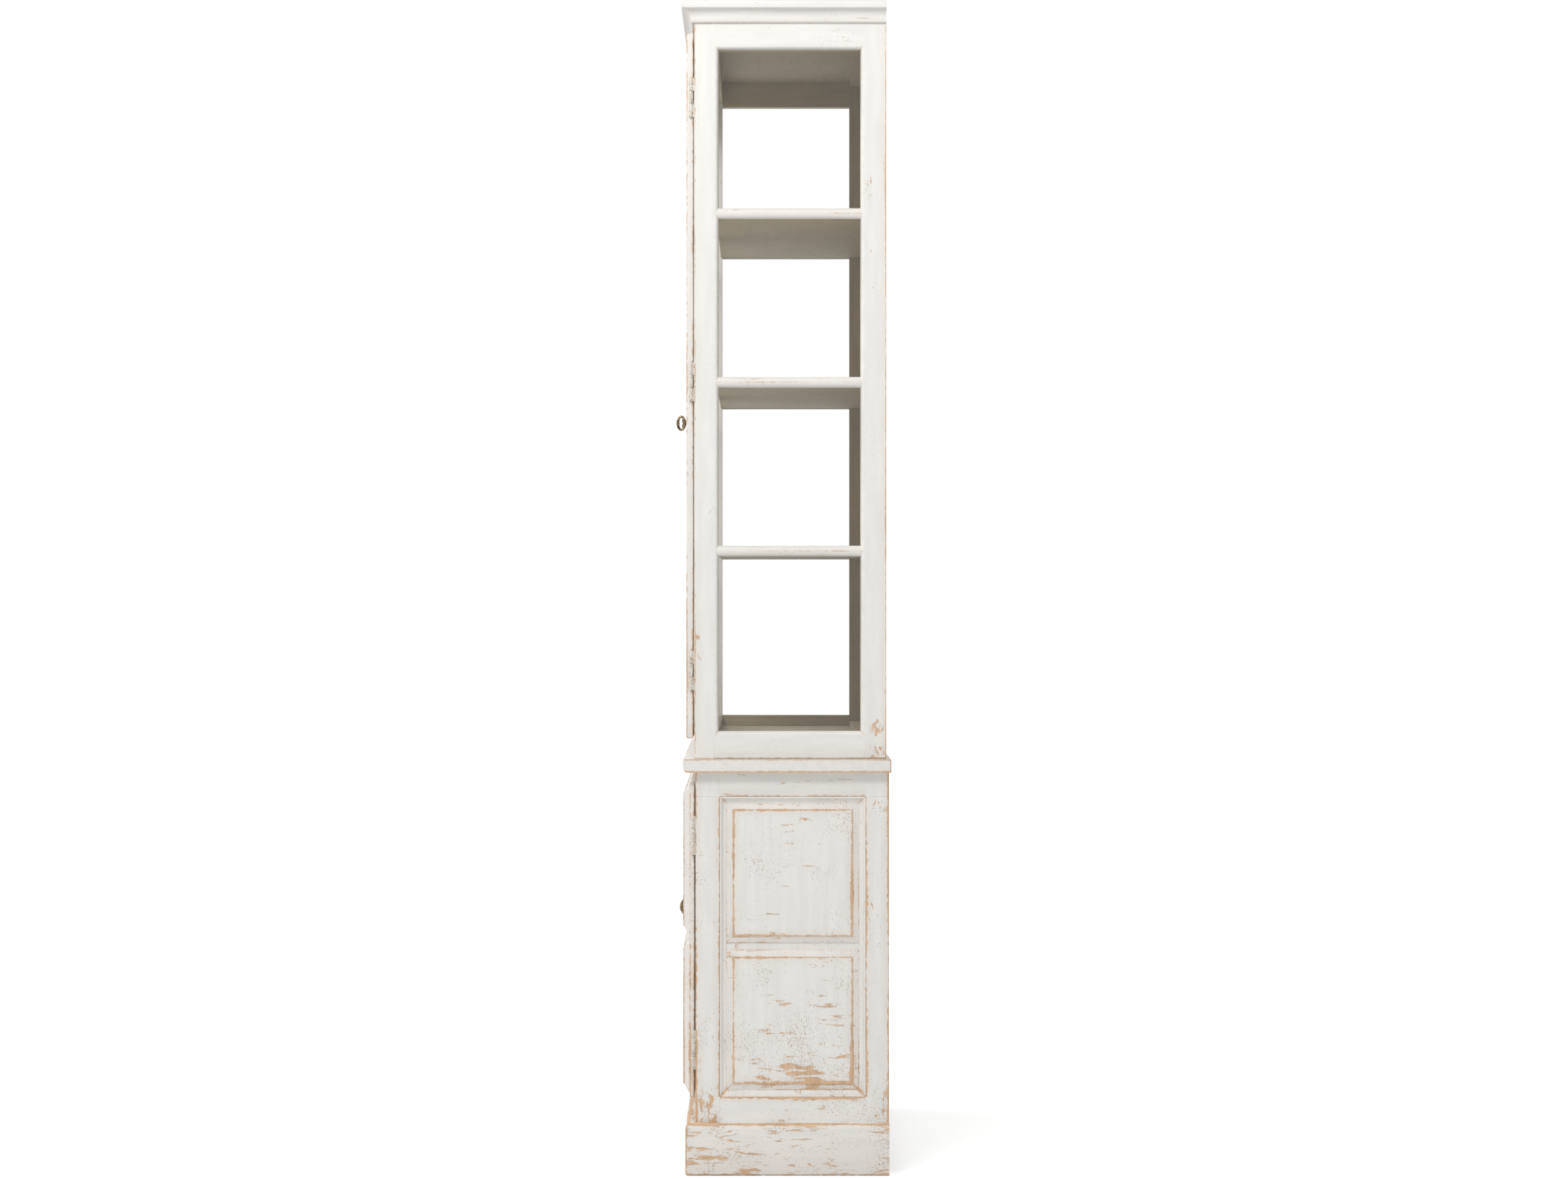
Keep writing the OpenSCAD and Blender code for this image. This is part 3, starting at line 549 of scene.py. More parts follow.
def panel(bm, origin, across, outward, size, look):
    # a raised panel on a face: bevelled borders, a small step and a flat field
    origin, across, outward = Vector(origin), Vector(across), Vector(outward)
    up = Vector((0, 0, 1))
    width, height = size
    old = set(bm.faces)
    corners = [origin + across * u * width + up * v * height for u, v in ((0, 0), (1, 0), (1, 1), (0, 1))]
    base = bm.faces.new([bm.verts.new(c) for c in corners])
    base.normal_update()
    if base.normal.dot(outward) < 0:
        base.normal_flip()
    lifted = bmesh.ops.extrude_face_region(bm, geom=[base])["geom"]
    top = [g for g in lifted if isinstance(g, bmesh.types.BMFace)]
    for v in top[0].verts:
        v.co += outward * look["edge"]
    bm.normal_update()
    if top[0].normal.dot(outward) < 0:
        top[0].normal_flip()
    rise = look["height"] - look["edge"] - look["step"]
    bmesh.ops.inset_region(bm, faces=top, thickness=look["bevel"], depth=0.0, use_even_offset=True)
    for v in top[0].verts:
        v.co += outward * rise
    bmesh.ops.inset_region(bm, faces=top, thickness=0.0005, depth=0.0, use_even_offset=True)
    for v in top[0].verts:
        v.co += outward * look["step"]
    field = list(top[0].edges)
    bmesh.ops.bevel(bm, geom=field, offset=look["soft"], offset_type="OFFSET", affect="EDGES",
                    segments=2, profile=0.5, material=-1, clamp_overlap=True)
    faces = fresh(bm, old)
    acrossAxis = max(range(3), key=lambda i: abs(across[i]))
    for axis in (acrossAxis, 2):
        ends = [c[axis] for c in corners]
        cutAlong(bm, faces, axis, min(ends), max(ends), grainStep)
        faces = fresh(bm, old)
    bmesh.ops.recalc_face_normals(bm, faces=faces)
    layer = wearLayer(bm)
    border = look["bevel"] + 0.0005
    for face in faces:
        for loop in face.loops:
            offset = loop.vert.co - origin
            u, v, out = offset.dot(across), offset.z, offset.dot(outward)
            inX = min(u, width - u) - border
            inY = min(v, height - v) - border
            if out > look["height"] - look["step"] * 0.6:
                loop[layer] = (max(0.0, inX), max(0.0, inY), 1.0, 1.0)
            else:
                lower = -min(inX, inY)
                mitre = abs(inX - inY) * 0.7
                loop[layer] = (lower + 0.0010, mitre + 0.0022, max(0.0, border - lower) + 0.0024, 1.0)
    rimAt = look["height"] - look["step"] * 1.2
    rim = {v for f in faces for v in f.verts if (v.co - origin).dot(outward) > rimAt}
    for v in rim:
        offset = v.co - origin
        u, h = offset.dot(across), offset.z
        if min(u, width - u, h, height - h) < border + 0.004:
            push = 0.5 + noise.noise(v.co * 37.0) * 0.6 + noise.noise(v.co * 110.0) * 0.4
            v.co -= outward * 0.0004 * max(0.0, push)
    return faces


def finish(bm, name, body, materials, nodes=(), smoothBelow=40):
    mesh = bpy.data.meshes.new(name)
    bm.to_mesh(mesh)
    bm.free()
    for material in materials:
        mesh.materials.append(material)
    mesh.polygons.foreach_set("use_smooth", [True] * len(mesh.polygons))
    mesh.set_sharp_from_angle(angle=math.radians(smoothBelow))
    piece = bpy.data.objects.new(name, mesh)
    scene.collection.objects.link(piece)
    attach(piece, body)
    if nodes:
        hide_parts(*nodes)
    return piece


def cutAway(piece, cutter):
    # what the cutter fills is taken off the piece, with a boolean that is applied at once
    mesh = bpy.data.meshes.new("cutter")
    cutter.to_mesh(mesh)
    cutter.free()
    tool = bpy.data.objects.new("cutter", mesh)
    scene.collection.objects.link(tool)
    modifier = piece.modifiers.new("hole", "BOOLEAN")
    modifier.operation = "DIFFERENCE"
    modifier.object = tool
    modifier.solver = "EXACT"
    graph = bpy.context.evaluated_depsgraph_get()
    cut = bpy.data.meshes.new_from_object(piece.evaluated_get(graph))
    piece.modifiers.clear()
    piece.data = cut
    bpy.data.objects.remove(tool)
    bpy.data.meshes.remove(mesh)


def drill(piece, centre, direction, radius, depth):
    # a round hole from the centre inwards
    cutter = bmesh.new()
    turn = Vector((0, 0, 1)).rotation_difference(Vector(direction)).to_matrix().to_4x4()
    middle = Vector(centre) + Vector(direction) * (depth / 2 - 0.001)
    bmesh.ops.create_cone(cutter, cap_ends=True, segments=32, radius1=radius, radius2=radius,
                          depth=depth + 0.002, matrix=Matrix.Translation(middle) @ turn)
    cutAway(piece, cutter)


def slotCut(piece, lo, hi):
    # a square channel from lo to hi
    cutter = bmesh.new()
    bmesh.ops.create_cube(cutter, size=1.0)
    for v in cutter.verts:
        v.co = Vector(lo[i] + (v.co[i] + 0.5) * (hi[i] - lo[i]) for i in range(3))
    cutAway(piece, cutter)


def rodBetween(bm, a, b, radius, segments=28, soft=0.0):
    # a round rod from a to b with softened ends
    a, b = Vector(a), Vector(b)
    turn = Vector((0, 0, 1)).rotation_difference(b - a).to_matrix().to_4x4()
    old = set(bm.faces)
    made = bmesh.ops.create_cone(bm, cap_ends=True, segments=segments, radius1=radius, radius2=radius,
                                 depth=(b - a).length, matrix=Matrix.Translation((a + b) / 2) @ turn)
    if soft:
        rims = [e for e in {e for v in made["verts"] for e in v.link_edges}
                if abs((e.verts[0].co - e.verts[1].co).dot((b - a).normalized())) < 1e-6]
        bmesh.ops.bevel(bm, geom=rims, offset=soft, offset_type="OFFSET", affect="EDGES", segments=2,
                        profile=0.5, material=-1, clamp_overlap=True)
    return fresh(bm, old)


def screwHead(bm, place, direction, radius):
    # a countersunk head with a slot pressed into it
    direction = Vector(direction)
    turn = Vector((0, 0, 1)).rotation_difference(direction).to_matrix().to_4x4()
    spot = Matrix.Translation(Vector(place)) @ turn
    disc = bmesh.ops.create_cone(bm, cap_ends=True, segments=20, radius1=radius * 0.9, radius2=radius,
                                 depth=0.0008, matrix=spot @ Matrix.Translation((0, 0, -0.0002)))
    shell = {f for v in disc["verts"] for f in v.link_faces}
    top = max(shell, key=lambda f: f.calc_center_median().dot(direction))
    bmesh.ops.inset_region(bm, faces=[top], thickness=radius * 0.18, depth=0.0001)
    for f in {f for v in disc["verts"] for f in v.link_faces} | {top}:
        f.material_index = 1
    slotted = bmesh.ops.create_cube(bm, size=1.0, matrix=spot @ Matrix.Translation((0, 0, 0.0003))
                                    @ Matrix.Diagonal((radius * 1.5, radius * 0.22, 0.0002, 1)))
    for f in {f for v in slotted["verts"] for f in v.link_faces}:
        f.material_index = 2


outerPaint = {axis: distressedPaint("distressedPaint_" + axis, axis, speck=0.8) for axis in "xyz"}
doorPaint = {axis: distressedPaint("doorPaint_" + axis, axis, rub=1.6, flake=1.4) for axis in "xz"}
innerPaint = {axis: interiorPaint(axis) for axis in "xyz"}
rubbedPaint = {axis: distressedPaint("rubbedPaint_" + axis, axis, rub=2.3, flake=1.5) for axis in "xyz"}
panelPaint = {"side": distressedPaint("panelPaint_side", "z", "y", rub=1.9, flake=2.0, speck=1.15),
              "door": distressedPaint("panelPaint_door", "z", "x", rub=1.9, flake=1.5, speck=1.15)}
plinthPaint = {axis: distressedPaint("plinthPaint_" + axis, axis, rub=2.6, flake=3.4, speck=1.5)
               for axis in "xy"}
print("shaping helpers ready")


# upper case

upperFrame = {"cornerSoft": 0.0035, "footSoft": 0.003}


def frontPost(name, mirror):
    bm = bmesh.new()
    rebate, strip = joinery["rebate"], joinery["strip"]
    soft = {"+x-y": upperFrame["cornerSoft"], "+x-z": upperFrame["footSoft"], "-y-z": upperFrame["footSoft"]}
    board(bm, (sideX - rebate, upFront, upFoot), (sideX, upOpenFront - strip, upTop), "+x-y +x-z -y-z",
          radii=soft, mirror=mirror)
    board(bm, (innerX, upFront, upFoot), (sideX - rebate, upOpenFront, upTop), "-y-z", mirror=mirror)
    return finish(bm, name, "case", [outerPaint["z"]],
                  ["upper_post_front_" + ("left" if mirror else "right")])


def backPosts():
    bm = bmesh.new()
    rebate, strip, edge = joinery["rebate"], joinery["strip"], joinery["backRebate"]
    for mirror in (False, True):
        board(bm, (sideX - rebate, upOpenBack + strip, upFoot), (sideX, upBack, upTop), "+x+y +x-z +y-z",
              radii={"+x+y": 0.0025, "+x-z": 0.003, "+y-z": 0.002}, mirror=mirror)
        board(bm, (sideX - edge, upOpenBack, upFoot), (sideX - rebate, upBack, upTop), "",
              inside="-y", mirror=mirror, cuts=False)
        board(bm, (innerX, upOpenBack, upFoot), (sideX - edge, upBack - joinery["backPanel"], upTop), "",
              inside="-x -y", mirror=mirror, cuts=False)
    return finish(bm, "upperPostsBack", "case", [outerPaint["z"], innerPaint["z"]], ["upper_posts_back"])


def upperSideRails(name, mirror):
    bm = bmesh.new()
    rebate, strip = joinery["rebate"], joinery["strip"]
    for low, high, outerLow, outerHigh, worn, reveal in (
            (openHigh, upTop, openHigh + strip, upTop, "", "-z"),
            (upFoot, openLow, upFoot, openLow - strip, "+x-z", "+z")):
        board(bm, (sideX - rebate, upOpenFront - strip, outerLow),
              (sideX, upOpenBack + strip, outerHigh), worn, radius=upperFrame["footSoft"], mirror=mirror)
        board(bm, (innerX, upOpenFront, low), (sideX - rebate, upOpenBack, high), "",
              inside="-x " + reveal, mirror=mirror, cuts=False)
    return finish(bm, name, "case", [outerPaint["y"], innerPaint["y"]],
                  ["upper_side_rails_" + ("left" if mirror else "right")])


def upperFrontRails():
    lo, hi = cadBox("upper_front_rails")
    boltLo, boltHi = cadBox("udoor_top_bolt")
    frontHigh = boltHi.z + joinery["boltClear"]
    bm = bmesh.new()
    board(bm, (lo.x, lo.y, frontHigh), (hi.x, hi.y, upTop), "-y-z", inside="+y -z")
    board(bm, (lo.x, lo.y, upFoot), (hi.x, hi.y, openLow), "-y+z -y-z",
          radii={"-y-z": upperFrame["footSoft"]}, inside="+y +z")
    rails = finish(bm, "upperFrontRails", "case", [outerPaint["x"], innerPaint["x"]], ["upper_front_rails"])
    x, y = (boltLo.x + boltHi.x) / 2, boltLo.y + joinery["boltAxis"]
    for z, way in ((frontHigh, 1), (openLow, -1)):
        drill(rails, (x, y, z), (0, 0, way), joinery["boltHole"], joinery["boltDeep"])
    return rails


def innerBoards():
    # ceiling, floor, shelves and back rails of the upper case
    for node, name in (("ceiling_board", "ceilingBoard"), ("upper_floor_board", "upperFloorBoard")):
        lo, hi = cadBox(node)
        bm = bmesh.new()
        board(bm, lo, hi, "", inside=allFaces, cuts=False)
        finish(bm, name, "case", [outerPaint["x"], innerPaint["x"]], [node])
    lo, hi = cadBox("upper_shelves")
    bm = bmesh.new()
    thick = cadBox("ceiling_board")[1].z - cadBox("ceiling_board")[0].z
    house = joinery["housing"]
    for k in range(3):
        z = lo.z + (hi.z - lo.z - thick) * k / 2
        board(bm, (-innerX + slack, upOpenFront - house, z), (innerX - slack, hi.y, z + thick),
              "-y+z -y-z", radius=0.002, inside=allFaces)
        for mirror in (False, True):
            board(bm, (innerX - slack, upOpenFront - house, z), (hi.x, upOpenBack + house, z + thick),
                  "-y+z", inside=allFaces, mirror=mirror, cuts=False)
    for f in bm.faces:
        f.material_index = 1
    finish(bm, "upperShelves", "case", [outerPaint["x"], innerPaint["x"]], ["upper_shelves"])
    lo, hi = cadBox("upper_back_rails")
    bm = bmesh.new()
    for low, high in ((upTop - joinery["backRailTop"], upTop), (upFoot, upFoot + joinery["backRailFoot"])):
        board(bm, (lo.x, lo.y, low), (hi.x, hi.y, high), "", inside=allFaces, cuts=False)
    finish(bm, "upperBackRails", "case", [outerPaint["x"], innerPaint["x"]], ["upper_back_rails"])


def backPanel(node, name, boards):
    # boards with a small bead between them, painted inside and left pale behind
    lo, hi = cadBox(node)
    bm = bmesh.new()
    width = (hi.x - lo.x) / boards
    for k in range(boards):
        board(bm, (lo.x + width * k, lo.y, lo.z), (lo.x + width * (k + 1), hi.y, hi.z),
              "-x-y +x-y -x+y +x+y", radius=0.0014, inside="-y", wander=0)
    finish(bm, name, "case", [outerPaint["z"], innerPaint["z"]], [node])


def ovolo(width, thick, low):
    # quarter-round profile from the wood's edge (out 0) to the opening (out = width)
    return [(0, 0), (width, 0)] + arc(0.0012, low, width - 0.0012, thick - low, 0, 90, 8) + [(0, thick)]


def glazingRing(bm, centre, across, outward, half, profile, marks, order=(0, 1, 2, 3)):
    # four mitred strips round an opening; half is the half size over the strips
    centre, across, outward = Vector(centre), Vector(across), Vector(outward)
    up = Vector((0, 0, 1))
    sidesList = [(across, up, half[1], half[0]), (-across, up, half[1], half[0]),
                 (up, across, half[0], half[1]), (-up, across, half[0], half[1])]
    for k in order:
        away, along, length, distance = sidesList[k]
        run(bm, profile, centre + away * distance, along, -away, outward, (-length, length),
            (lambda out, lift: out, lambda out, lift: -out), marks)


def halfRound(width, height, foot):
    return [(-width / 2, 0), (width / 2, 0)] + arc(0, foot, width / 2, height - foot, 0, 180, 14)


def glazingBar(bm, centre, across, outward, half, width, height, foot, reach):
    # a half-round bar whose ends are mitred into the strips
    profile = halfRound(width, height, foot)

    def point(out):
        return min(width / 2 - abs(out), reach)

    run(bm, profile, centre, across, (0, 0, 1), outward, (-half, half),
        (lambda out, lift: -point(out), lambda out, lift: point(out)), (9,), wander=0, sparing=0.0013)


def barHeights():
    lo, hi = cadBox("upper_shelves")
    thick = cadBox("ceiling_board")[1].z - cadBox("ceiling_board")[0].z
    return [lo.z + thick / 2 + (hi.z - lo.z - thick) * k / 2 for k in range(3)]


def sideGlazing(name, mirror):
    bm = bmesh.new()
    strip = joinery["strip"]
    glassOut = sideX - joinery["rebate"] + joinery["glass"] + 0.0002
    thick = sideX - glassOut - 0.0002
    sign = -1 if mirror else 1
    middle = ((upOpenFront + upOpenBack) / 2, (openLow + openHigh) / 2)
    half = ((upOpenBack - upOpenFront) / 2, (openHigh - openLow) / 2)
    glazingRing(bm, (sign * glassOut, middle[0], middle[1]), (0, 1, 0), (sign, 0, 0),
                (half[0] + strip, half[1] + strip), ovolo(strip, thick, 0.003), ())
    for z in barHeights():
        glazingBar(bm, (sign * glassOut, middle[0], z), (0, 1, 0), (sign, 0, 0), half[0], joinery["bar"],
                   thick - 0.0006, 0.003, strip)
    return finish(bm, name, "case", [outerPaint["y"], innerPaint["y"]],
                  ["side_glazing_" + ("left" if mirror else "right")])


crownLook = {"out": crownHi.x - sideX, "lip": 0.018, "height": crownHi.z - crownLo.z}


def crownProfile():
    out = crownLook["out"]
    points = [(-crownLook["lip"], 0), (-crownLook["lip"], -0.022), (0, -0.022), (0, -crownLook["height"])]
    points += [(0.0030, -0.0430), (0.0052, -0.0424), (0.0068, -0.0408), (0.0076, -0.0385), (0.0078, -0.0360)]
    points += [(0.0080 + 0.0146 * (1 - math.cos(a)), -0.0345 + 0.0180 * math.sin(a))
               for a in (math.radians(9 * k) for k in range(0, 11))]
    points += [(out - 0.0014, -0.0160), (out - 0.0004, -0.0152), (out, -0.0140), (out, -0.0024),
               (out - 0.0007, -0.0008), (out - 0.0022, 0)]
    return points


def crown():
    profile = crownProfile()
    marks = (4,)
    top = crownHi.z
    bm = bmesh.new()
    run(bm, profile, (0, upFront, top), (1, 0, 0), (0, -1, 0), (0, 0, 1), (-sideX, sideX),
        (lambda out, up: -out, lambda out, up: out), marks, wander=0.0006)
    finish(bm, "crownFront", "case", [outerPaint["x"]], ["crown_front"])
    bm = bmesh.new()
    for sign in (1, -1):
        run(bm, profile, (sign * sideX, 0, top), (0, 1, 0), (sign, 0, 0), (0, 0, 1), (upFront, upBack),
            (lambda out, up: -out, None), marks, wander=0.0006)
    finish(bm, "crownSides", "case", [outerPaint["y"]], ["crown_sides"])


def upperCase():
    frontPost("upperPostFrontRight", False)
    frontPost("upperPostFrontLeft", True)
    backPosts()
    upperSideRails("upperSideRailsRight", False)
    upperSideRails("upperSideRailsLeft", True)
    upperFrontRails()
    innerBoards()
    backPanel("upper_back_panel", "upperBackPanel", 8)
    sideGlazing("sideGlazingRight", False)
    sideGlazing("sideGlazingLeft", True)
    crown()


upperCase()
print("upper case done")


# lower case

def lowerPosts():
    bm = bmesh.new()
    for mirror in (False, True):
        for low, high, worn in ((0, recessLow, "+x-y"), (recessLow, recessHigh, "+x-y +x+y"),
                                (recessHigh, waistFoot, "+x-y")):
            board(bm, (innerX, loFront, low), (sideX, loOpenFront, high), worn, inside="-x +y",
                  radii={"+x-y": 0.0032, "+x+y": 0.0018}, mirror=mirror)
    finish(bm, "lowerPostsFront", "case", [rubbedPaint["z"], innerPaint["z"]], ["lower_posts_front"])
    bm = bmesh.new()
    edge = joinery["backRebate"]
    for mirror in (False, True):
        for low, high, worn in ((0, recessLow, "+x+y"), (recessLow, recessHigh, "+x+y +x-y"),
                                (recessHigh, waistFoot, "+x+y")):
            board(bm, (sideX - edge, loOpenBack, low), (sideX, loBack, high), worn,
                  radii={"+x+y": 0.0028, "+x-y": 0.0018}, mirror=mirror)
        board(bm, (innerX, loOpenBack, 0), (sideX - edge, loBack - joinery["backPanel"], waistFoot), "",
              inside="-x -y", mirror=mirror, cuts=False)
    finish(bm, "lowerPostsBack", "case", [rubbedPaint["z"], innerPaint["z"]], ["lower_posts_back"])


def lowerRails():
    lo, hi = cadBox("lower_front_rails")
    bottomLo, bottomHi = cadBox("lower_bottom_board")
    boltLo, boltHi = cadBox("ldoor_top_bolt")
    frontHigh = boltHi.z + joinery["boltClear"]
    bm = bmesh.new()
    board(bm, (lo.x, lo.y, frontHigh), (hi.x, hi.y, waistFoot), "-y-z", inside="+y -z")
    board(bm, (lo.x, lo.y, lo.z), (hi.x, hi.y, bottomHi.z), "-y+z", inside="+y +z")
    rails = finish(bm, "lowerFrontRails", "case", [rubbedPaint["x"], innerPaint["x"]], ["lower_front_rails"])
    drill(rails, ((boltLo.x + boltHi.x) / 2, boltLo.y + joinery["boltAxis"], frontHigh), (0, 0, 1),
          joinery["boltHole"], joinery["boltDeep"])
    lo, hi = cadBox("lower_side_rails")
    bm = bmesh.new()
    for mirror in (False, True):
        for low, high, worn in ((recessHigh, waistFoot, "+x-z"), (lo.z, recessLow, "+x+z")):
            board(bm, (sideX - joinery["lowSideRail"], loOpenFront, low), (sideX, loOpenBack, high), worn,
                  radius=0.0018, mirror=mirror)
    finish(bm, "lowerSideRails", "case", [rubbedPaint["y"]], ["lower_side_rails"])
    lo, hi = cadBox("lower_back_rails")
    bm = bmesh.new()
    for low, high in ((waistFoot - joinery["lowBackRail"], waistFoot), (lo.z, bottomLo.z)):
        board(bm, (lo.x, lo.y, low), (hi.x, hi.y, high), "", inside=allFaces, cuts=False)
    finish(bm, "lowerBackRails", "case", [outerPaint["x"], innerPaint["x"]], ["lower_back_rails"])


sidePanelLook = {"edge": 0.002, "height": 0.0095, "bevel": 0.0135, "step": 0.0014, "soft": 0.0010}
coveLook = {"width": 0.012, "thick": 0.0112}


def coveProfile():
    width, thick = coveLook["width"], coveLook["thick"]
    points = [(0, 0), (width, 0), (width, 0.0022)]
    points += [(width - 0.0012 - 0.0072 * math.sin(a), 0.0030 + 0.0068 * (1 - math.cos(a)))
               for a in (math.radians(10 * k) for k in range(0, 10))]
    points += [(0.0032, 0.0104), (0.0024, thick), (0, thick)]
    return points


def lowerSides():
    ground = cadBox("side_panels_right")[0].x
    lo, hi = cadBox("side_boards")
    bm = bmesh.new()
    for mirror in (False, True):
        board(bm, (ground - joinery["backPanel"], lo.y, lo.z), (ground, hi.y, hi.z), "", inside="-x",
              mirror=mirror, cuts=False)
    finish(bm, "sideBoards", "case", [rubbedPaint["z"], innerPaint["z"]], ["side_boards"])
    middle = ((loOpenFront + loOpenBack) / 2, (recessLow + recessHigh) / 2)
    half = ((loOpenBack - loOpenFront) / 2, (recessHigh - recessLow) / 2)
    bm = bmesh.new()
    profile = coveProfile()
    for sign in (1, -1):
        glazingRing(bm, (sign * ground, middle[0], middle[1]), (0, 1, 0), (sign, 0, 0), half, profile, ())
    finish(bm, "sideMouldings", "case", [rubbedPaint["z"]], ["side_mouldings"])
    width = coveLook["width"]
    for sign, side in ((1, "right"), (-1, "left")):
        bm = bmesh.new()
        for low, high in ((recessLow + width, middle[1] - 0.007), (middle[1] + 0.007, recessHigh - width)):
            panel(bm, (sign * ground, loOpenFront + width, low), (0, 1, 0), (sign, 0, 0),
                  (loOpenBack - loOpenFront - 2 * width, high - low), sidePanelLook)
        finish(bm, "sidePanels" + side.capitalize(), "case", [panelPaint["side"]], ["side_panels_" + side])


# how far each edge of the waist board is rounded
waistRounds = {
    "-y-z": 0.009, "+x-z": 0.008, "-x-z": 0.008,
    "-y+z": 0.004, "+x+z": 0.003, "-x+z": 0.003,
    "+x-y": 0.008, "-x-y": 0.008,
    "+y+z": 0.003, "+x+y": 0.003, "-x+y": 0.003,
}


def waistBoard():
    bm = bmesh.new()
    board(bm, waistLo, waistHi, " ".join(waistRounds), radii=waistRounds, wander=0.0006)
    finish(bm, "waistBoard", "case", [outerPaint["x"]], ["waist_board"])


plinthLook = {"foot": 0.006, "topRound": (0.011, 0.013)}


def plinth():
    out = plinthHi.x - sideX
    top = plinthTop
    foot = plinthLook["foot"]
    wide, tall = plinthLook["topRound"]
    profile = [(0, top), (0, 0)] + arc(out - foot, foot, foot, foot, -90, 0, 6)
    profile += arc(out - wide, top - tall, wide, tall, 0, 90, 10)
    marks = (5, len(profile) - 4)
    bm = bmesh.new()
    run(bm, profile, (0, loFront, 0), (1, 0, 0), (0, -1, 0), (0, 0, 1), (-sideX, sideX),
        (lambda o, u: -o, lambda o, u: o), marks, wander=0.0006)
    finish(bm, "plinthFront", "case", [plinthPaint["x"]], ["plinth_front"])
    bm = bmesh.new()
    for sign in (1, -1):
        run(bm, profile, (sign * sideX, 0, 0), (0, 1, 0), (sign, 0, 0), (0, 0, 1), (loFront, loBack),
            (lambda o, u: -o, None), marks, wander=0.0006)
    finish(bm, "plinthSides", "case", [plinthPaint["y"]], ["plinth_sides"])


def lowerInside():
    for node, name in (("lower_bottom_board", "lowerBottomBoard"), ("lower_shelf", "lowerShelf")):
        lo, hi = cadBox(node)
        bm = bmesh.new()
        front = loOpenFront if node == "lower_bottom_board" else lo.y
        board(bm, (-innerX + slack, lo.y, lo.z), (innerX - slack, hi.y, hi.z), "-y+z -y-z", radius=0.002,
              inside=allFaces)
        for mirror in (False, True):
            board(bm, (innerX - slack, front, lo.z), (hi.x, loOpenBack, hi.z), "",
                  inside=allFaces, mirror=mirror, cuts=False)
        for f in bm.faces:
            f.material_index = 1
        finish(bm, name, "case", [outerPaint["x"], innerPaint["x"]], [node])


lowerPosts()
lowerRails()
lowerSides()
waistBoard()
plinth()
lowerInside()
backPanel("lower_back_panel", "lowerBackPanel", 8)
print("lower case done")


# doors

lockLook = {
    "bore": 0.0034,          # hole through the door and the case
    "case": (0.017, 0.022, 0.026),       # half width, below and above the keyhole
    "soft": 0.0012,
    "screwsAt": (0.0125, (-0.0175, 0.0215)),
    "screw": 0.0024,
    "play": 0.0004,          # round the bolt
    "channel": (0.0175, 0.0125),
    "plate": (0.009, 0.015),             # half width and height of the keyhole plate
    "plateRise": 0.0008,
    "hole": 0.0036,
    "beads": ((0.0, 0.0009), (0.0042, 0.0006)),      # in from the plate's edge, and the wire
}


def keyBore(piece, level, front, back):
    # the hole through a door for its key's shaft
    keyLo, keyHi = cadBox(level + "_key")
    drill(piece, ((keyLo.x + keyHi.x) / 2, front - 0.001, (keyLo.z + keyHi.z) / 2), (0, 1, 0),
          lockLook["bore"], back - front + 0.002)


def upperDoor(side):
    mirror = side == "left"
    body = "upper_door_" + side
    lo, hi = cadBox("udoor_right_stiles")
    railLo, railHi = cadBox("udoor_right_rails")
    glassLo, glassHi = cadBox("udoor_right_glass")
    strip = joinery["strip"]
    front = glassLo.y - 0.0002              # back of the front layer, a hair off the glass
    low, high = glassLo.z + strip - 0.0005, glassHi.z - strip + 0.0005
    corner = 0.0035
    bm = bmesh.new()
    for x0, x1, outer in ((railHi.x + strip, hi.x, "+x"), (lo.x, railLo.x - strip, "-x")):
        for y0, y1, face, soft in ((lo.y, front, "-y", corner), (front, hi.y, "+y", 0.0025)):
            worn = " ".join((outer + face, outer + "+z", outer + "-z", face + "+z", face + "-z"))
            board(bm, (x0, y0, lo.z), (x1, y1, hi.z), worn, radius=soft, mirror=mirror)
    centre = ((railLo.x + railHi.x) / 2, (low + high) / 2)
    half = ((railHi.x - railLo.x) / 2 + strip, (high - low) / 2 + strip)
    sign = -1 if mirror else 1
    ring = ovolo(strip, front - lo.y, 0.0022)
    ringAt = (sign * centre[0], front, centre[1])
    glazingRing(bm, ringAt, (1, 0, 0), (0, -1, 0), half, ring, (), (0, 1))
    stiles = finish(bm, "upperDoorStiles" + side.capitalize(), body, [doorPaint["z"]],
                    ["udoor_" + side + "_stiles"])
    if side == "right":
        keyBore(stiles, "upper", lo.y, hi.y)
    bm = bmesh.new()
    for z0, z1, edge in ((high + strip, hi.z, "+z"), (lo.z, low - strip, "-z")):
        for y0, y1, face, soft in ((lo.y, front, "-y", corner), (front, hi.y, "+y", 0.0025)):
            board(bm, (railLo.x - strip, y0, z0), (railHi.x + strip, y1, z1), face + edge, radius=soft,
                  mirror=mirror)
    glazingRing(bm, ringAt, (1, 0, 0), (0, -1, 0), half, ring, (), (2, 3))
    finish(bm, "upperDoorRails" + side.capitalize(), body, [doorPaint["x"]], ["udoor_" + side + "_rails"])
    bm = bmesh.new()
    bead = [(0, 0), (strip, 0), (strip, 0.003), (strip - 0.003, 0.0045), (0, 0.0045)]
    glazingRing(bm, (sign * centre[0], glassHi.y, centre[1]), (1, 0, 0), (0, 1, 0), half, bead, (2,))
    for z in barHeights():
        glazingBar(bm, (sign * centre[0], front, z), (1, 0, 0), (0, -1, 0), half[0] - strip, joinery["bar"],
                   front - lo.y - 0.0004, 0.0022, strip)
    finish(bm, "upperDoorGlazing" + side.capitalize(), body, [doorPaint["x"]],
           ["udoor_" + side + "_glazing"])


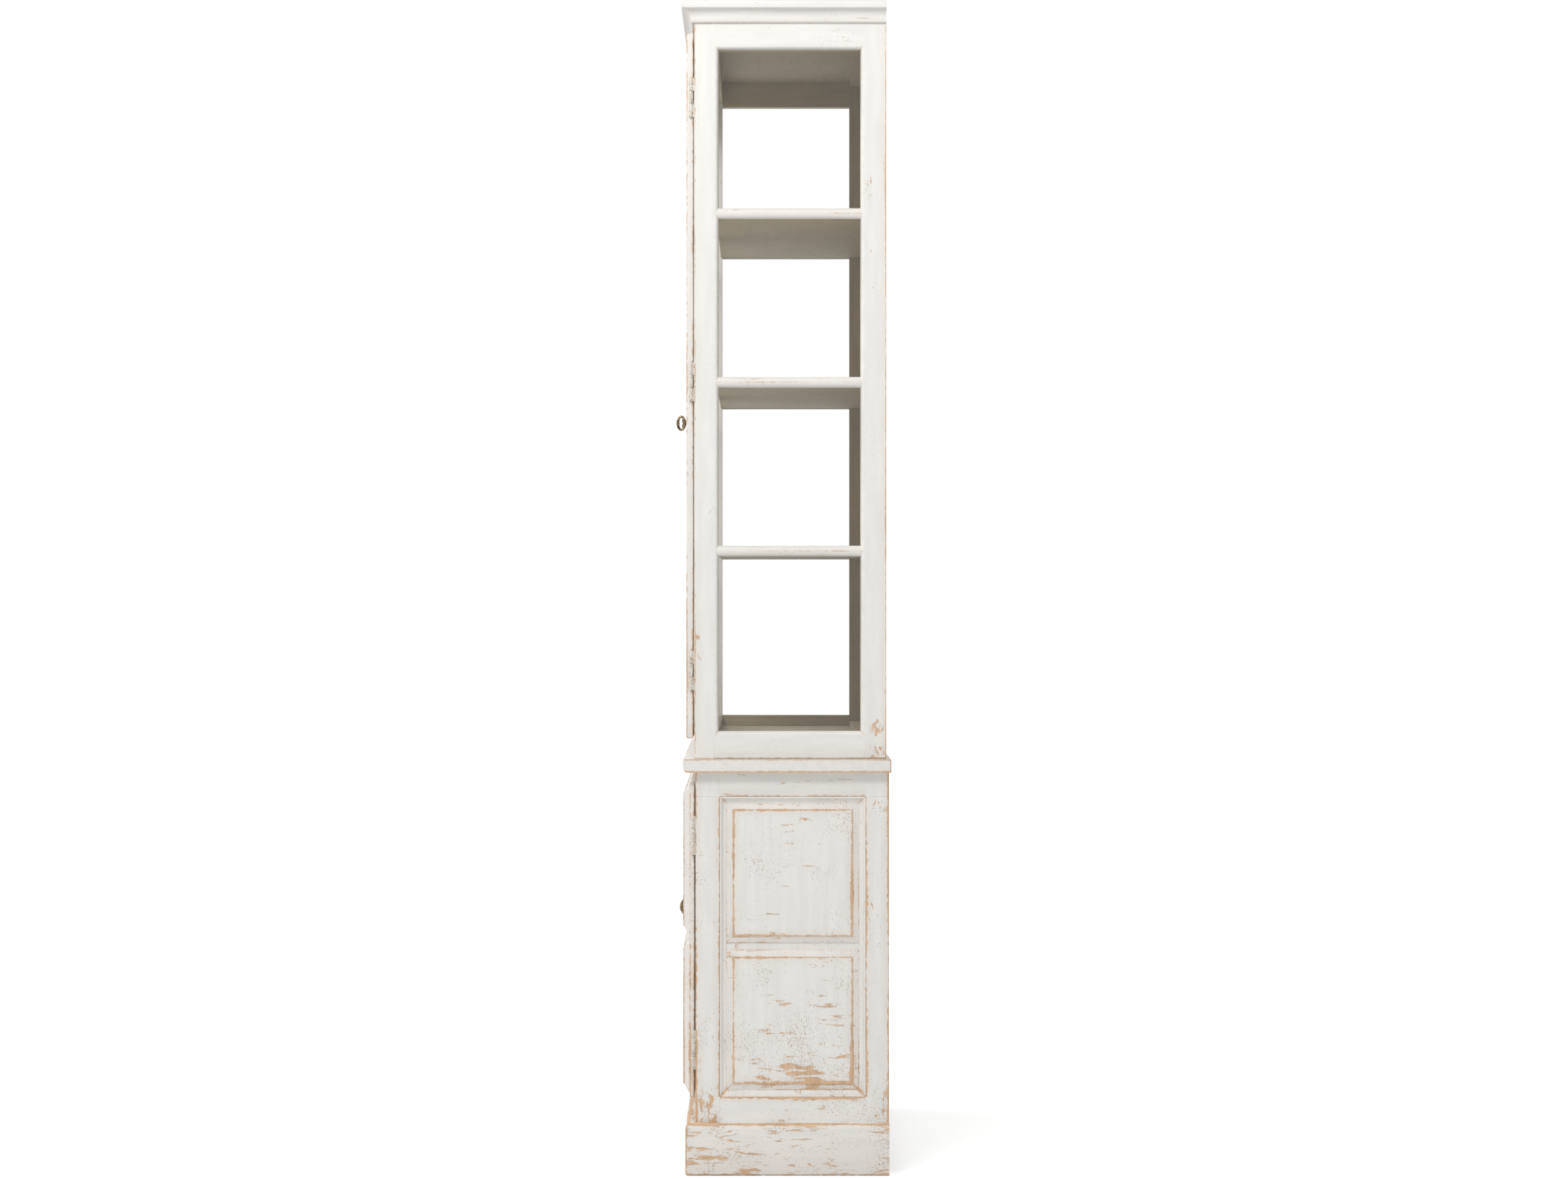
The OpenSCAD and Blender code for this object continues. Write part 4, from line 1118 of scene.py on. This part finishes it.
doorPanelLook = {"edge": 0.0015, "height": 0.0129, "bevel": 0.0155, "step": 0.0016, "soft": 0.0012}


def lowerDoor(side):
    mirror = side == "left"
    body = "lower_door_" + side
    lo, hi = cadBox("ldoor_right_board")
    bm = bmesh.new()
    board(bm, lo, hi, "all", radius=0.0032, mirror=mirror)
    slab = finish(bm, "lowerDoorBoard" + side.capitalize(), body, [doorPaint["z"]],
                  ["ldoor_" + side + "_board"])
    if side == "right":
        keyBore(slab, "lower", lo.y, hi.y)
    panelLo, panelHi = cadBox("ldoor_right_panels")
    split = lo.z + (hi.z - lo.z) * 0.506
    sign = -1 if mirror else 1
    bm = bmesh.new()
    for low, high in ((panelLo.z, split - 0.0075), (split + 0.0075, panelHi.z)):
        panel(bm, (sign * panelLo.x, lo.y, low), (sign, 0, 0), (0, -1, 0),
              (panelHi.x - panelLo.x, high - low), doorPanelLook)
    finish(bm, "lowerDoorPanels" + side.capitalize(), body, [panelPaint["door"]],
           ["ldoor_" + side + "_panels"])


for side in ("right", "left"):
    upperDoor(side)
    lowerDoor(side)
print("doors done")


# hinges

hingeLook = {
    "height": 0.076,
    "knuckle": 0.025,        # one knuckle of the case leaf
    "gap": 0.0004,           # room between knuckles
    "upperRadius": 0.004,
    "lowerRadius": 0.0036,
    "inset": 0.004,          # the pin's place in from the case's side
    "lowerOff": 0.004,       # and out from the lower case's front
    "midRise": 0.008,        # the middle hinge stands over the door's middle
    "leaf": 0.0015,          # thickness, let into the wood
    "proud": 0.00025,        # and standing out of it
    "caseLeaf": 0.034,       # leaf's reach in from the pin
    "doorLeaf": 0.030,       # leaf's reach in from the door's edge
    "soft": 0.0005,
    "leafSoft": 0.0004,
    "pin": 0.55,             # pin's radius beside the knuckle's
    "pinHead": 0.0012,
    "screw": 0.0034,
    "screwProud": 0.0004,
    "screws": ((-0.026, 0.012), (0, 0.020), (0.026, 0.012)),     # up the leaf, and in from its edge
}
pinX = sideX - hingeLook["inset"]
doorEdge = cadBox("udoor_right_stiles")[1].x


def hingeLevels():
    # for each case: body of the doors, face of the case, back of the doors, pin's y, radius, heights
    half = hingeLook["height"] / 2
    doorLo, doorHi = cadBox("udoor_right_stiles")
    lo, hi = cadBox("udoor_right_hinges")
    middle = (doorLo.z + doorHi.z) / 2 + hingeLook["midRise"]
    radius = hingeLook["upperRadius"]
    upper = ("upper", "udoor_", upFront, doorHi.y, lo.y + radius, radius, [lo.z + half, middle, hi.z - half])
    lo, hi = cadBox("ldoor_right_hinges")
    back = cadBox("ldoor_right_board")[1].y
    lower = ("lower", "ldoor_", loFront, back, loFront - hingeLook["lowerOff"], hingeLook["lowerRadius"],
             [lo.z + half, hi.z - half])
    return upper, lower


def caseLeaf(bm, sign, z, face, pinY, radius):
    # the leaf on the case's front edge, its two knuckles and the pin
    look = hingeLook
    half = look["height"] / 2
    for end in (-1, 1):
        middle = z + end * (half - look["knuckle"] / 2)
        low, high = middle - look["knuckle"] / 2, middle + look["knuckle"] / 2
        rodBetween(bm, (sign * pinX, pinY, low), (sign * pinX, pinY, high), radius, soft=look["soft"])
        board(bm, (pinX - look["leaf"], pinY + radius * 0.5, low), (pinX + look["leaf"], face + 0.001, high),
              "", mirror=sign < 0, cuts=False, wander=0)
        tip = z + end * half
        rodBetween(bm, (sign * pinX, pinY, tip), (sign * pinX, pinY, tip + end * look["pinHead"]),
                   radius * look["pin"], 20, look["leafSoft"])
    board(bm, (pinX - look["caseLeaf"], face - look["proud"], z - half),
          (pinX + 0.002, face + look["leaf"], z + half), "-x-y +x-y -y+z -y-z", radius=look["leafSoft"],
          mirror=sign < 0, cuts=False, wander=0)
    for up, along in look["screws"]:
        place = (sign * (pinX - along), face - look["screwProud"], z + up)
        screwHead(bm, place, (0, -1, 0), look["screw"])


def doorLeaf(bm, sign, z, back, pinY, radius):
    # the leaf on the door's back and its middle knuckle
    look = hingeLook
    half = look["height"] / 2
    reach = half - look["knuckle"] - look["gap"]
    rodBetween(bm, (sign * pinX, pinY, z - reach), (sign * pinX, pinY, z + reach), radius, soft=look["soft"])
    board(bm, (doorEdge - look["doorLeaf"], back - look["leaf"], z - half),
          (doorEdge - 0.0002, back + look["proud"], z + half), "-x+y +x+y +y+z +y-z",
          radius=look["leafSoft"], mirror=sign < 0, cuts=False, wander=0)
    board(bm, (doorEdge - 0.003, back - look["leaf"], z - reach),
          (pinX - radius * look["pin"], back, z + reach), "", mirror=sign < 0, cuts=False, wander=0)
    for up, along in look["screws"]:
        place = (sign * (doorEdge + 0.002 - along), back + look["screwProud"], z + up)
        screwHead(bm, place, (0, 1, 0), look["screw"])


def hinges():
    finishes = [hingePaint, hingePaint, darkSteel]
    caseSide = bmesh.new()
    for level, nodeStart, face, back, pinY, radius, heights in hingeLevels():
        for side, sign in (("right", 1), ("left", -1)):
            doorSide = bmesh.new()
            for z in heights:
                caseLeaf(caseSide, sign, z, face, pinY, radius)
                doorLeaf(doorSide, sign, z, back, pinY, radius)
            finish(doorSide, level + "DoorHinges" + side.capitalize(), level + "_door_" + side, finishes,
                   [nodeStart + side + "_hinges"])
    finish(caseSide, "hingeLeavesCase", "case", finishes, ["hinge_leaves_case"])


hinges()
print("hinges done")


# locks, keys and bolts

keyLook = {
    "bowHigh": 0.016,        # half of the oval bow's height
    "bowLong": 0.0105,       # half of its length
    "wire": 0.0025,
    "swell": 0.30,           # the bow is stouter at its nose and heel
    "noseRings": ((0.0032, 0.0030), (0.0054, 0.0024)),       # place from the nose, size
    "noseWire": 0.0011,
    "noseBall": 0.0021,
    "noseBallAt": (0.0036, 0.0040),
    "lobe": (0.0028, 0.0040),                               # half the size of a lobe of the heart
    "lobeAt": (0.0056, 0.0044),
    "heartBall": 0.0027,
    "heartAt": 0.0050,
    "shaft": 0.0024,
    "heel": 0.003,           # the shaft starts this far inside the bow
    "collars": ((0.0006, 0.0044, 0.0012), (0.0026, 0.0036, 0.0010), (0.0044, 0.0040, 0.0010)),
    "bitThick": 0.00125,
    "bitLong": 0.0041,
    "bitHigh": (0.001, 0.008),
}


def ringTube(bm, centre, radii, angles, wire, count=40, closed=True, flat=(0, 1, 0), sides=14):
    # a wire bent round an oval that lies in the flat direction and z
    flat, up = Vector(flat), Vector((0, 0, 1))
    rings = []
    for k in range(count if closed else count + 1):
        angle = math.radians(angles[0] + (angles[1] - angles[0]) * k / count)
        place = Vector(centre) + flat * (radii[0] * math.cos(angle)) + up * (radii[1] * math.sin(angle))
        ahead = up * (radii[1] * math.cos(angle)) - flat * (radii[0] * math.sin(angle))
        if angles[1] < angles[0]:
            ahead.negate()
        turn = up.rotation_difference(ahead).to_matrix().to_4x4()
        circle = bmesh.ops.create_circle(bm, segments=sides, radius=wire(k / count),
                                         matrix=Matrix.Translation(place) @ turn)
        rings.append({e for v in circle["verts"] for e in v.link_edges})
    for a, b in zip(rings, rings[1:] + (rings[:1] if closed else [])):
        bmesh.ops.bridge_loops(bm, edges=list(a | b))
    if not closed:
        for loop in (rings[0], rings[-1]):
            bmesh.ops.contextual_create(bm, geom=list(loop))


def ball(bm, place, radius, segments, rings):
    bmesh.ops.create_uvsphere(bm, u_segments=segments, v_segments=rings, radius=radius,
                              matrix=Matrix.Translation(place))


def keyPiece(level):
    look = keyLook
    node = level + "_key"
    lo, hi = cadBox(node)
    x, z = (lo.x + hi.x) / 2, (lo.z + hi.z) / 2
    bm = bmesh.new()
    long, wire = look["bowLong"], look["wire"]
    heel = lo.y + 2 * long
    ringTube(bm, (x, lo.y + long, z), (long - wire * 1.32 - 0.0001, look["bowHigh"] - wire), (0, 360),
             lambda t: wire * (1 + look["swell"] * abs(math.cos(2 * math.pi * t)) ** 6), 56)
    for place, size in look["noseRings"]:
        ringTube(bm, (x, lo.y + place, z), (size * 0.25, size), (0, 360), lambda t: look["noseWire"], 20)
    for end in (-1, 1):
        ball(bm, (x, lo.y + look["noseBallAt"][0], z + end * look["noseBallAt"][1]), look["noseBall"], 14, 8)
        ringTube(bm, (x, heel - look["lobeAt"][0], z + end * look["lobeAt"][1]), look["lobe"],
                 (0, end * 225), lambda t: 0.0014 - 0.0005 * t, 22, False)
    ball(bm, (x, heel - look["heartAt"], z), look["heartBall"], 16, 10)
    shaftStart = heel - look["heel"]
    rodBetween(bm, (x, shaftStart, z), (x, hi.y, z), look["shaft"], 24, 0.0005)
    for offset, radius, width in look["collars"]:
        start = shaftStart + offset
        rodBetween(bm, (x, start, z), (x, start + width, z), radius, 28, 0.0004)
    near, far = look["bitHigh"]
    board(bm, (x - look["bitThick"], hi.y - look["bitLong"], z - far),
          (x + look["bitThick"], hi.y - 0.0001, z - near), "all", radius=0.0003, cuts=False, wander=0)
    bmesh.ops.recalc_face_normals(bm, faces=list(bm.faces))
    finish(bm, level + "Key", node, [keyBrass], [node], 50)


def addScrews(piece, places, direction, radius):
    # screw heads go on after the holes are cut
    bm = bmesh.new()
    bm.from_mesh(piece.data)
    for place in places:
        screwHead(bm, place, direction, radius)
    bm.to_mesh(piece.data)
    bm.free()


def lockCase(level, x, z):
    look = lockLook
    node = level + "_lock"
    back = cadBox(node)[1].y
    front = cadBox("udoor_right_stiles" if level == "upper" else "ldoor_right_board")[1].y
    boltLo, boltHi = cadBox(level + "_lock_bolt")
    wide, below, above = look["case"]
    bm = bmesh.new()
    board(bm, (x - wide, front, z - below), (x + wide, back, z + above), "+y+x -x+y +y+z +y-z",
          radius=look["soft"], cuts=False, wander=0)
    case = finish(bm, level + "Lock", level + "_door_right", [darkSteel, wornSteel, darkSteel], [node])
    drill(case, (x, front - 0.001, z), (0, 1, 0), look["bore"], 0.011)
    play = look["play"]
    slotCut(case, (x - look["channel"][0], boltLo.y - play, boltLo.z - play),
            (x + look["channel"][1], boltHi.y + play, boltHi.z + play))
    across, heights = look["screwsAt"]
    corners = [(x + dx, back + 0.0002, z + dz) for dx in (-across, across) for dz in heights]
    addScrews(case, corners, (0, 1, 0), look["screw"])


def keyholePlate(level, x, z):
    # an oval plate with a bead round its edge and another round the hole
    look = lockLook
    front = cadBox("udoor_right_stiles" if level == "upper" else "ldoor_right_board")[0].y
    wide, tall = look["plate"]
    bm = bmesh.new()
    for inward, wire in look["beads"]:
        ringTube(bm, (x, front - 0.0009, z), (wide - inward - wire, tall - inward - wire), (0, 360),
                 lambda t, thick=wire: thick, 40, flat=(1, 0, 0), sides=10)
    hole = (look["hole"], look["hole"])
    loops = []
    for half, depth in (((wide - 0.0006, tall - 0.0006), 0.0001),
                        ((wide - 0.0010, tall - 0.0010), look["plateRise"]),
                        (hole, look["plateRise"]), (hole, 0.0001)):
        spot = Matrix.Translation((x, front - depth, z)) @ Matrix.Rotation(math.radians(90), 4, "X")
        circle = bmesh.ops.create_circle(bm, segments=48, radius=1.0,
                                         matrix=spot @ Matrix.Diagonal((*half, 1, 1)))
        loops.append({e for v in circle["verts"] for e in v.link_edges})
    for a, b in zip(loops, loops[1:] + loops[:1]):
        bmesh.ops.bridge_loops(bm, edges=list(a | b))
    bmesh.ops.recalc_face_normals(bm, faces=list(bm.faces))
    finish(bm, level + "Escutcheon", level + "_door_right", [keyBrass], ())


def lockPiece(level):
    keyLo, keyHi = cadBox(level + "_key")
    x, z = (keyLo.x + keyHi.x) / 2, (keyLo.z + keyHi.z) / 2
    lockCase(level, x, z)
    keyholePlate(level, x, z)


def lockBolt(level):
    node = level + "_lock_bolt"
    lo, hi = cadBox(node)
    bm = bmesh.new()
    board(bm, lo, hi, "all", radius=0.0008, cuts=False, wander=0)
    finish(bm, level + "LockBolt", node, [darkSteel], [node])


boltLook = {
    "radius": 0.004,
    "tail": 0.058,           # from the bolt's end to the middle of its guide
    "soft": 0.0009,
    "knobDown": 0.009,
    "knobStem": 0.0019,
    "knob": 0.0036,
    "plate": (0.012, 0.045, 0.0016),         # half width, half height, thickness
    "saddle": (0.008, 0.005, 0.016),         # half width, half height, reach from the door
    "saddlesAt": 0.035,
    "screwsAt": (0.008, 0.0215),
    "screw": 0.0022,
    "bore": 0.0044,
}


def boltPlace(node):
    # the bolt's axis, and the height of its guide's middle
    lo, hi = cadBox(node)
    middle = hi.z - boltLook["tail"] if "top" in node else lo.z + boltLook["tail"]
    return (lo.x + hi.x) / 2, lo.y + boltLook["radius"], middle


def slideBolt(node, body, name):
    look = boltLook
    lo, hi = cadBox(node)
    x, y, middle = boltPlace(node)
    bm = bmesh.new()
    rodBetween(bm, (x, y, lo.z), (x, y, hi.z), look["radius"], 32, look["soft"])
    knobZ = middle - look["knobDown"] if "top" in node else middle + look["knobDown"]
    rodBetween(bm, (x, y, knobZ), (x, hi.y - 0.0035, knobZ), look["knobStem"], 20)
    ball(bm, (x, hi.y - look["knob"], knobZ), look["knob"], 20, 12)
    finish(bm, name, body, [darkSteel], [node], 50)


def boltGuides(node, body, name, bolts, back):
    # a plate on the door's back with two saddles round each bolt
    look = boltLook
    worn = "+y+x -x+y +y+z +y-z"
    wide, tall, thick = look["plate"]
    saddleWide, saddleTall, saddleOut = look["saddle"]
    places = [boltPlace(bolt) for bolt in bolts]
    bm = bmesh.new()
    for x, y, z in places:
        board(bm, (x - wide, back, z - tall), (x + wide, back + thick, z + tall), worn, radius=0.0007,
              cuts=False, wander=0)
        for s in (-look["saddlesAt"], look["saddlesAt"]):
            board(bm, (x - saddleWide, back + thick, z + s - saddleTall),
                  (x + saddleWide, back + saddleOut, z + s + saddleTall), worn, radius=0.0022,
                  cuts=False, wander=0)
    guides = finish(bm, name, body, [darkSteel, wornSteel, darkSteel], [node])
    across, along = look["screwsAt"]
    screws = []
    for x, y, z in places:
        drill(guides, (x, y, z - 0.05), (0, 0, 1), look["bore"], 0.100)
        screws += [(x + dx, back + 0.0018, z + s) for s in (-along, along) for dx in (-across, across)]
    addScrews(guides, screws, (0, 1, 0), look["screw"])


for level in ("upper", "lower"):
    keyPiece(level)
    lockPiece(level)
    lockBolt(level)
slideBolt("udoor_top_bolt", "upper_left_top_bolt", "upperTopBolt")
slideBolt("udoor_bottom_bolt", "upper_left_bottom_bolt", "upperBottomBolt")
slideBolt("ldoor_top_bolt", "lower_left_top_bolt", "lowerTopBolt")
boltGuides("udoor_left_bolt_guides", "upper_door_left", "upperBoltGuides",
           ("udoor_top_bolt", "udoor_bottom_bolt"), cadBox("udoor_right_stiles")[1].y)
boltGuides("ldoor_left_bolt_guide", "lower_door_left", "lowerBoltGuide", ("ldoor_top_bolt",),
           cadBox("ldoor_right_board")[1].y)
print("locks and bolts done")


# carried-over nodes take their finishes

for node in ("side_glass", "udoor_right_glass", "udoor_left_glass"):
    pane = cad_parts[node]
    if not pane.material_slots:
        pane.data.materials.append(glassLook)
    for holder in pane.material_slots:
        holder.material = glassLook
print("glass done")


# floor, light and camera

studio = {
    "fill": 0.63,            # the white room as it lights the cabinet
    "seen": 1.07,            # and as it is seen
    "floor": 0.82,
    "floorGlow": 0.50,       # lifts the seen floor to white
    "overSide": {"place": (3.9, -1.3, 3.7), "size": (1.7, 0.9), "power": 66},
    "nearTop": {"place": (1.9, -0.9, 3.2), "size": (0.9, 0.5), "power": 9},
    "overFront": {"place": (-1.2, -3.6, 3.4), "size": (2.2, 1.2), "power": 45},
}


def seenStrength(tree, seen, unseen):
    # one strength for the camera and clear reflections, another for what lights the room
    rays = addNode(tree, "ShaderNodeLightPath").outputs
    direct = calc(tree, "MAXIMUM", rays["Is Camera Ray"], rays["Is Glossy Ray"])
    direct = calc(tree, "MAXIMUM", direct, rays["Is Transmission Ray"])
    return calc(tree, "MULTIPLY_ADD", direct, seen - unseen, unseen)


def stageFloor():
    bm = bmesh.new()
    bmesh.ops.create_grid(bm, x_segments=4, y_segments=4, size=14)
    mesh = bpy.data.meshes.new("studioFloor")
    bm.to_mesh(mesh)
    bm.free()
    floor = bpy.data.objects.new("studioFloor", mesh)
    scene.collection.objects.link(floor)
    material, tree, shader = newMaterial("paleFloor")
    shader.inputs["Base Color"].default_value = (*[studio["floor"]] * 3, 1)
    shader.inputs["Roughness"].default_value = 0.8
    shader.inputs["Specular IOR Level"].default_value = 0.0
    shader.inputs["Emission Color"].default_value = (1, 1, 1, 1)
    tree.links.new(seenStrength(tree, studio["floorGlow"], 0.0), shader.inputs["Emission Strength"])
    mesh.materials.append(material)


def areaLamp(name, look, target):
    data = bpy.data.lights.new(name, "AREA")
    data.shape = "RECTANGLE"
    data.size, data.size_y = look["size"]
    data.energy = look["power"]
    lamp = bpy.data.objects.new(name, data)
    scene.collection.objects.link(lamp)
    lamp.location = look["place"]
    lamp.rotation_euler = (Vector(target) - Vector(look["place"])).to_track_quat("-Z", "Y").to_euler()


viewFrom = {
    "place": (sideX + 8.185, -0.0485, 1.1504),       # square on to the right side
    "lens": 96.46,
    "sensor": 36.0,
    "shift": (39 / 2212, -7.5 / 2212),
}


def setCamera():
    data = bpy.data.cameras.new("camera")
    data.lens = viewFrom["lens"]
    data.sensor_width = viewFrom["sensor"]
    data.shift_x, data.shift_y = viewFrom["shift"]
    cameraObject = bpy.data.objects.new("camera", data)
    scene.collection.objects.link(cameraObject)
    cameraObject.location = viewFrom["place"]
    cameraObject.rotation_euler = (math.radians(90), 0, math.radians(90))
    scene.camera = cameraObject


def setLight():
    world = bpy.data.worlds.new("studioWorld")
    world.use_nodes = True
    back = world.node_tree.nodes["Background"]
    back.inputs["Color"].default_value = (1, 1, 1, 1)
    tree = world.node_tree
    tree.links.new(seenStrength(tree, studio["seen"], studio["fill"]), back.inputs["Strength"])
    scene.world = world
    areaLamp("overSide", studio["overSide"], (0.5, 0, 1.3))
    areaLamp("overFront", studio["overFront"], (0, 0, 1.3))
    areaLamp("nearTop", studio["nearTop"], (0.5, 0, 1.9))
    scene.view_settings.view_transform = "Standard"


stageFloor()
setLight()
setCamera()
print("stage set")
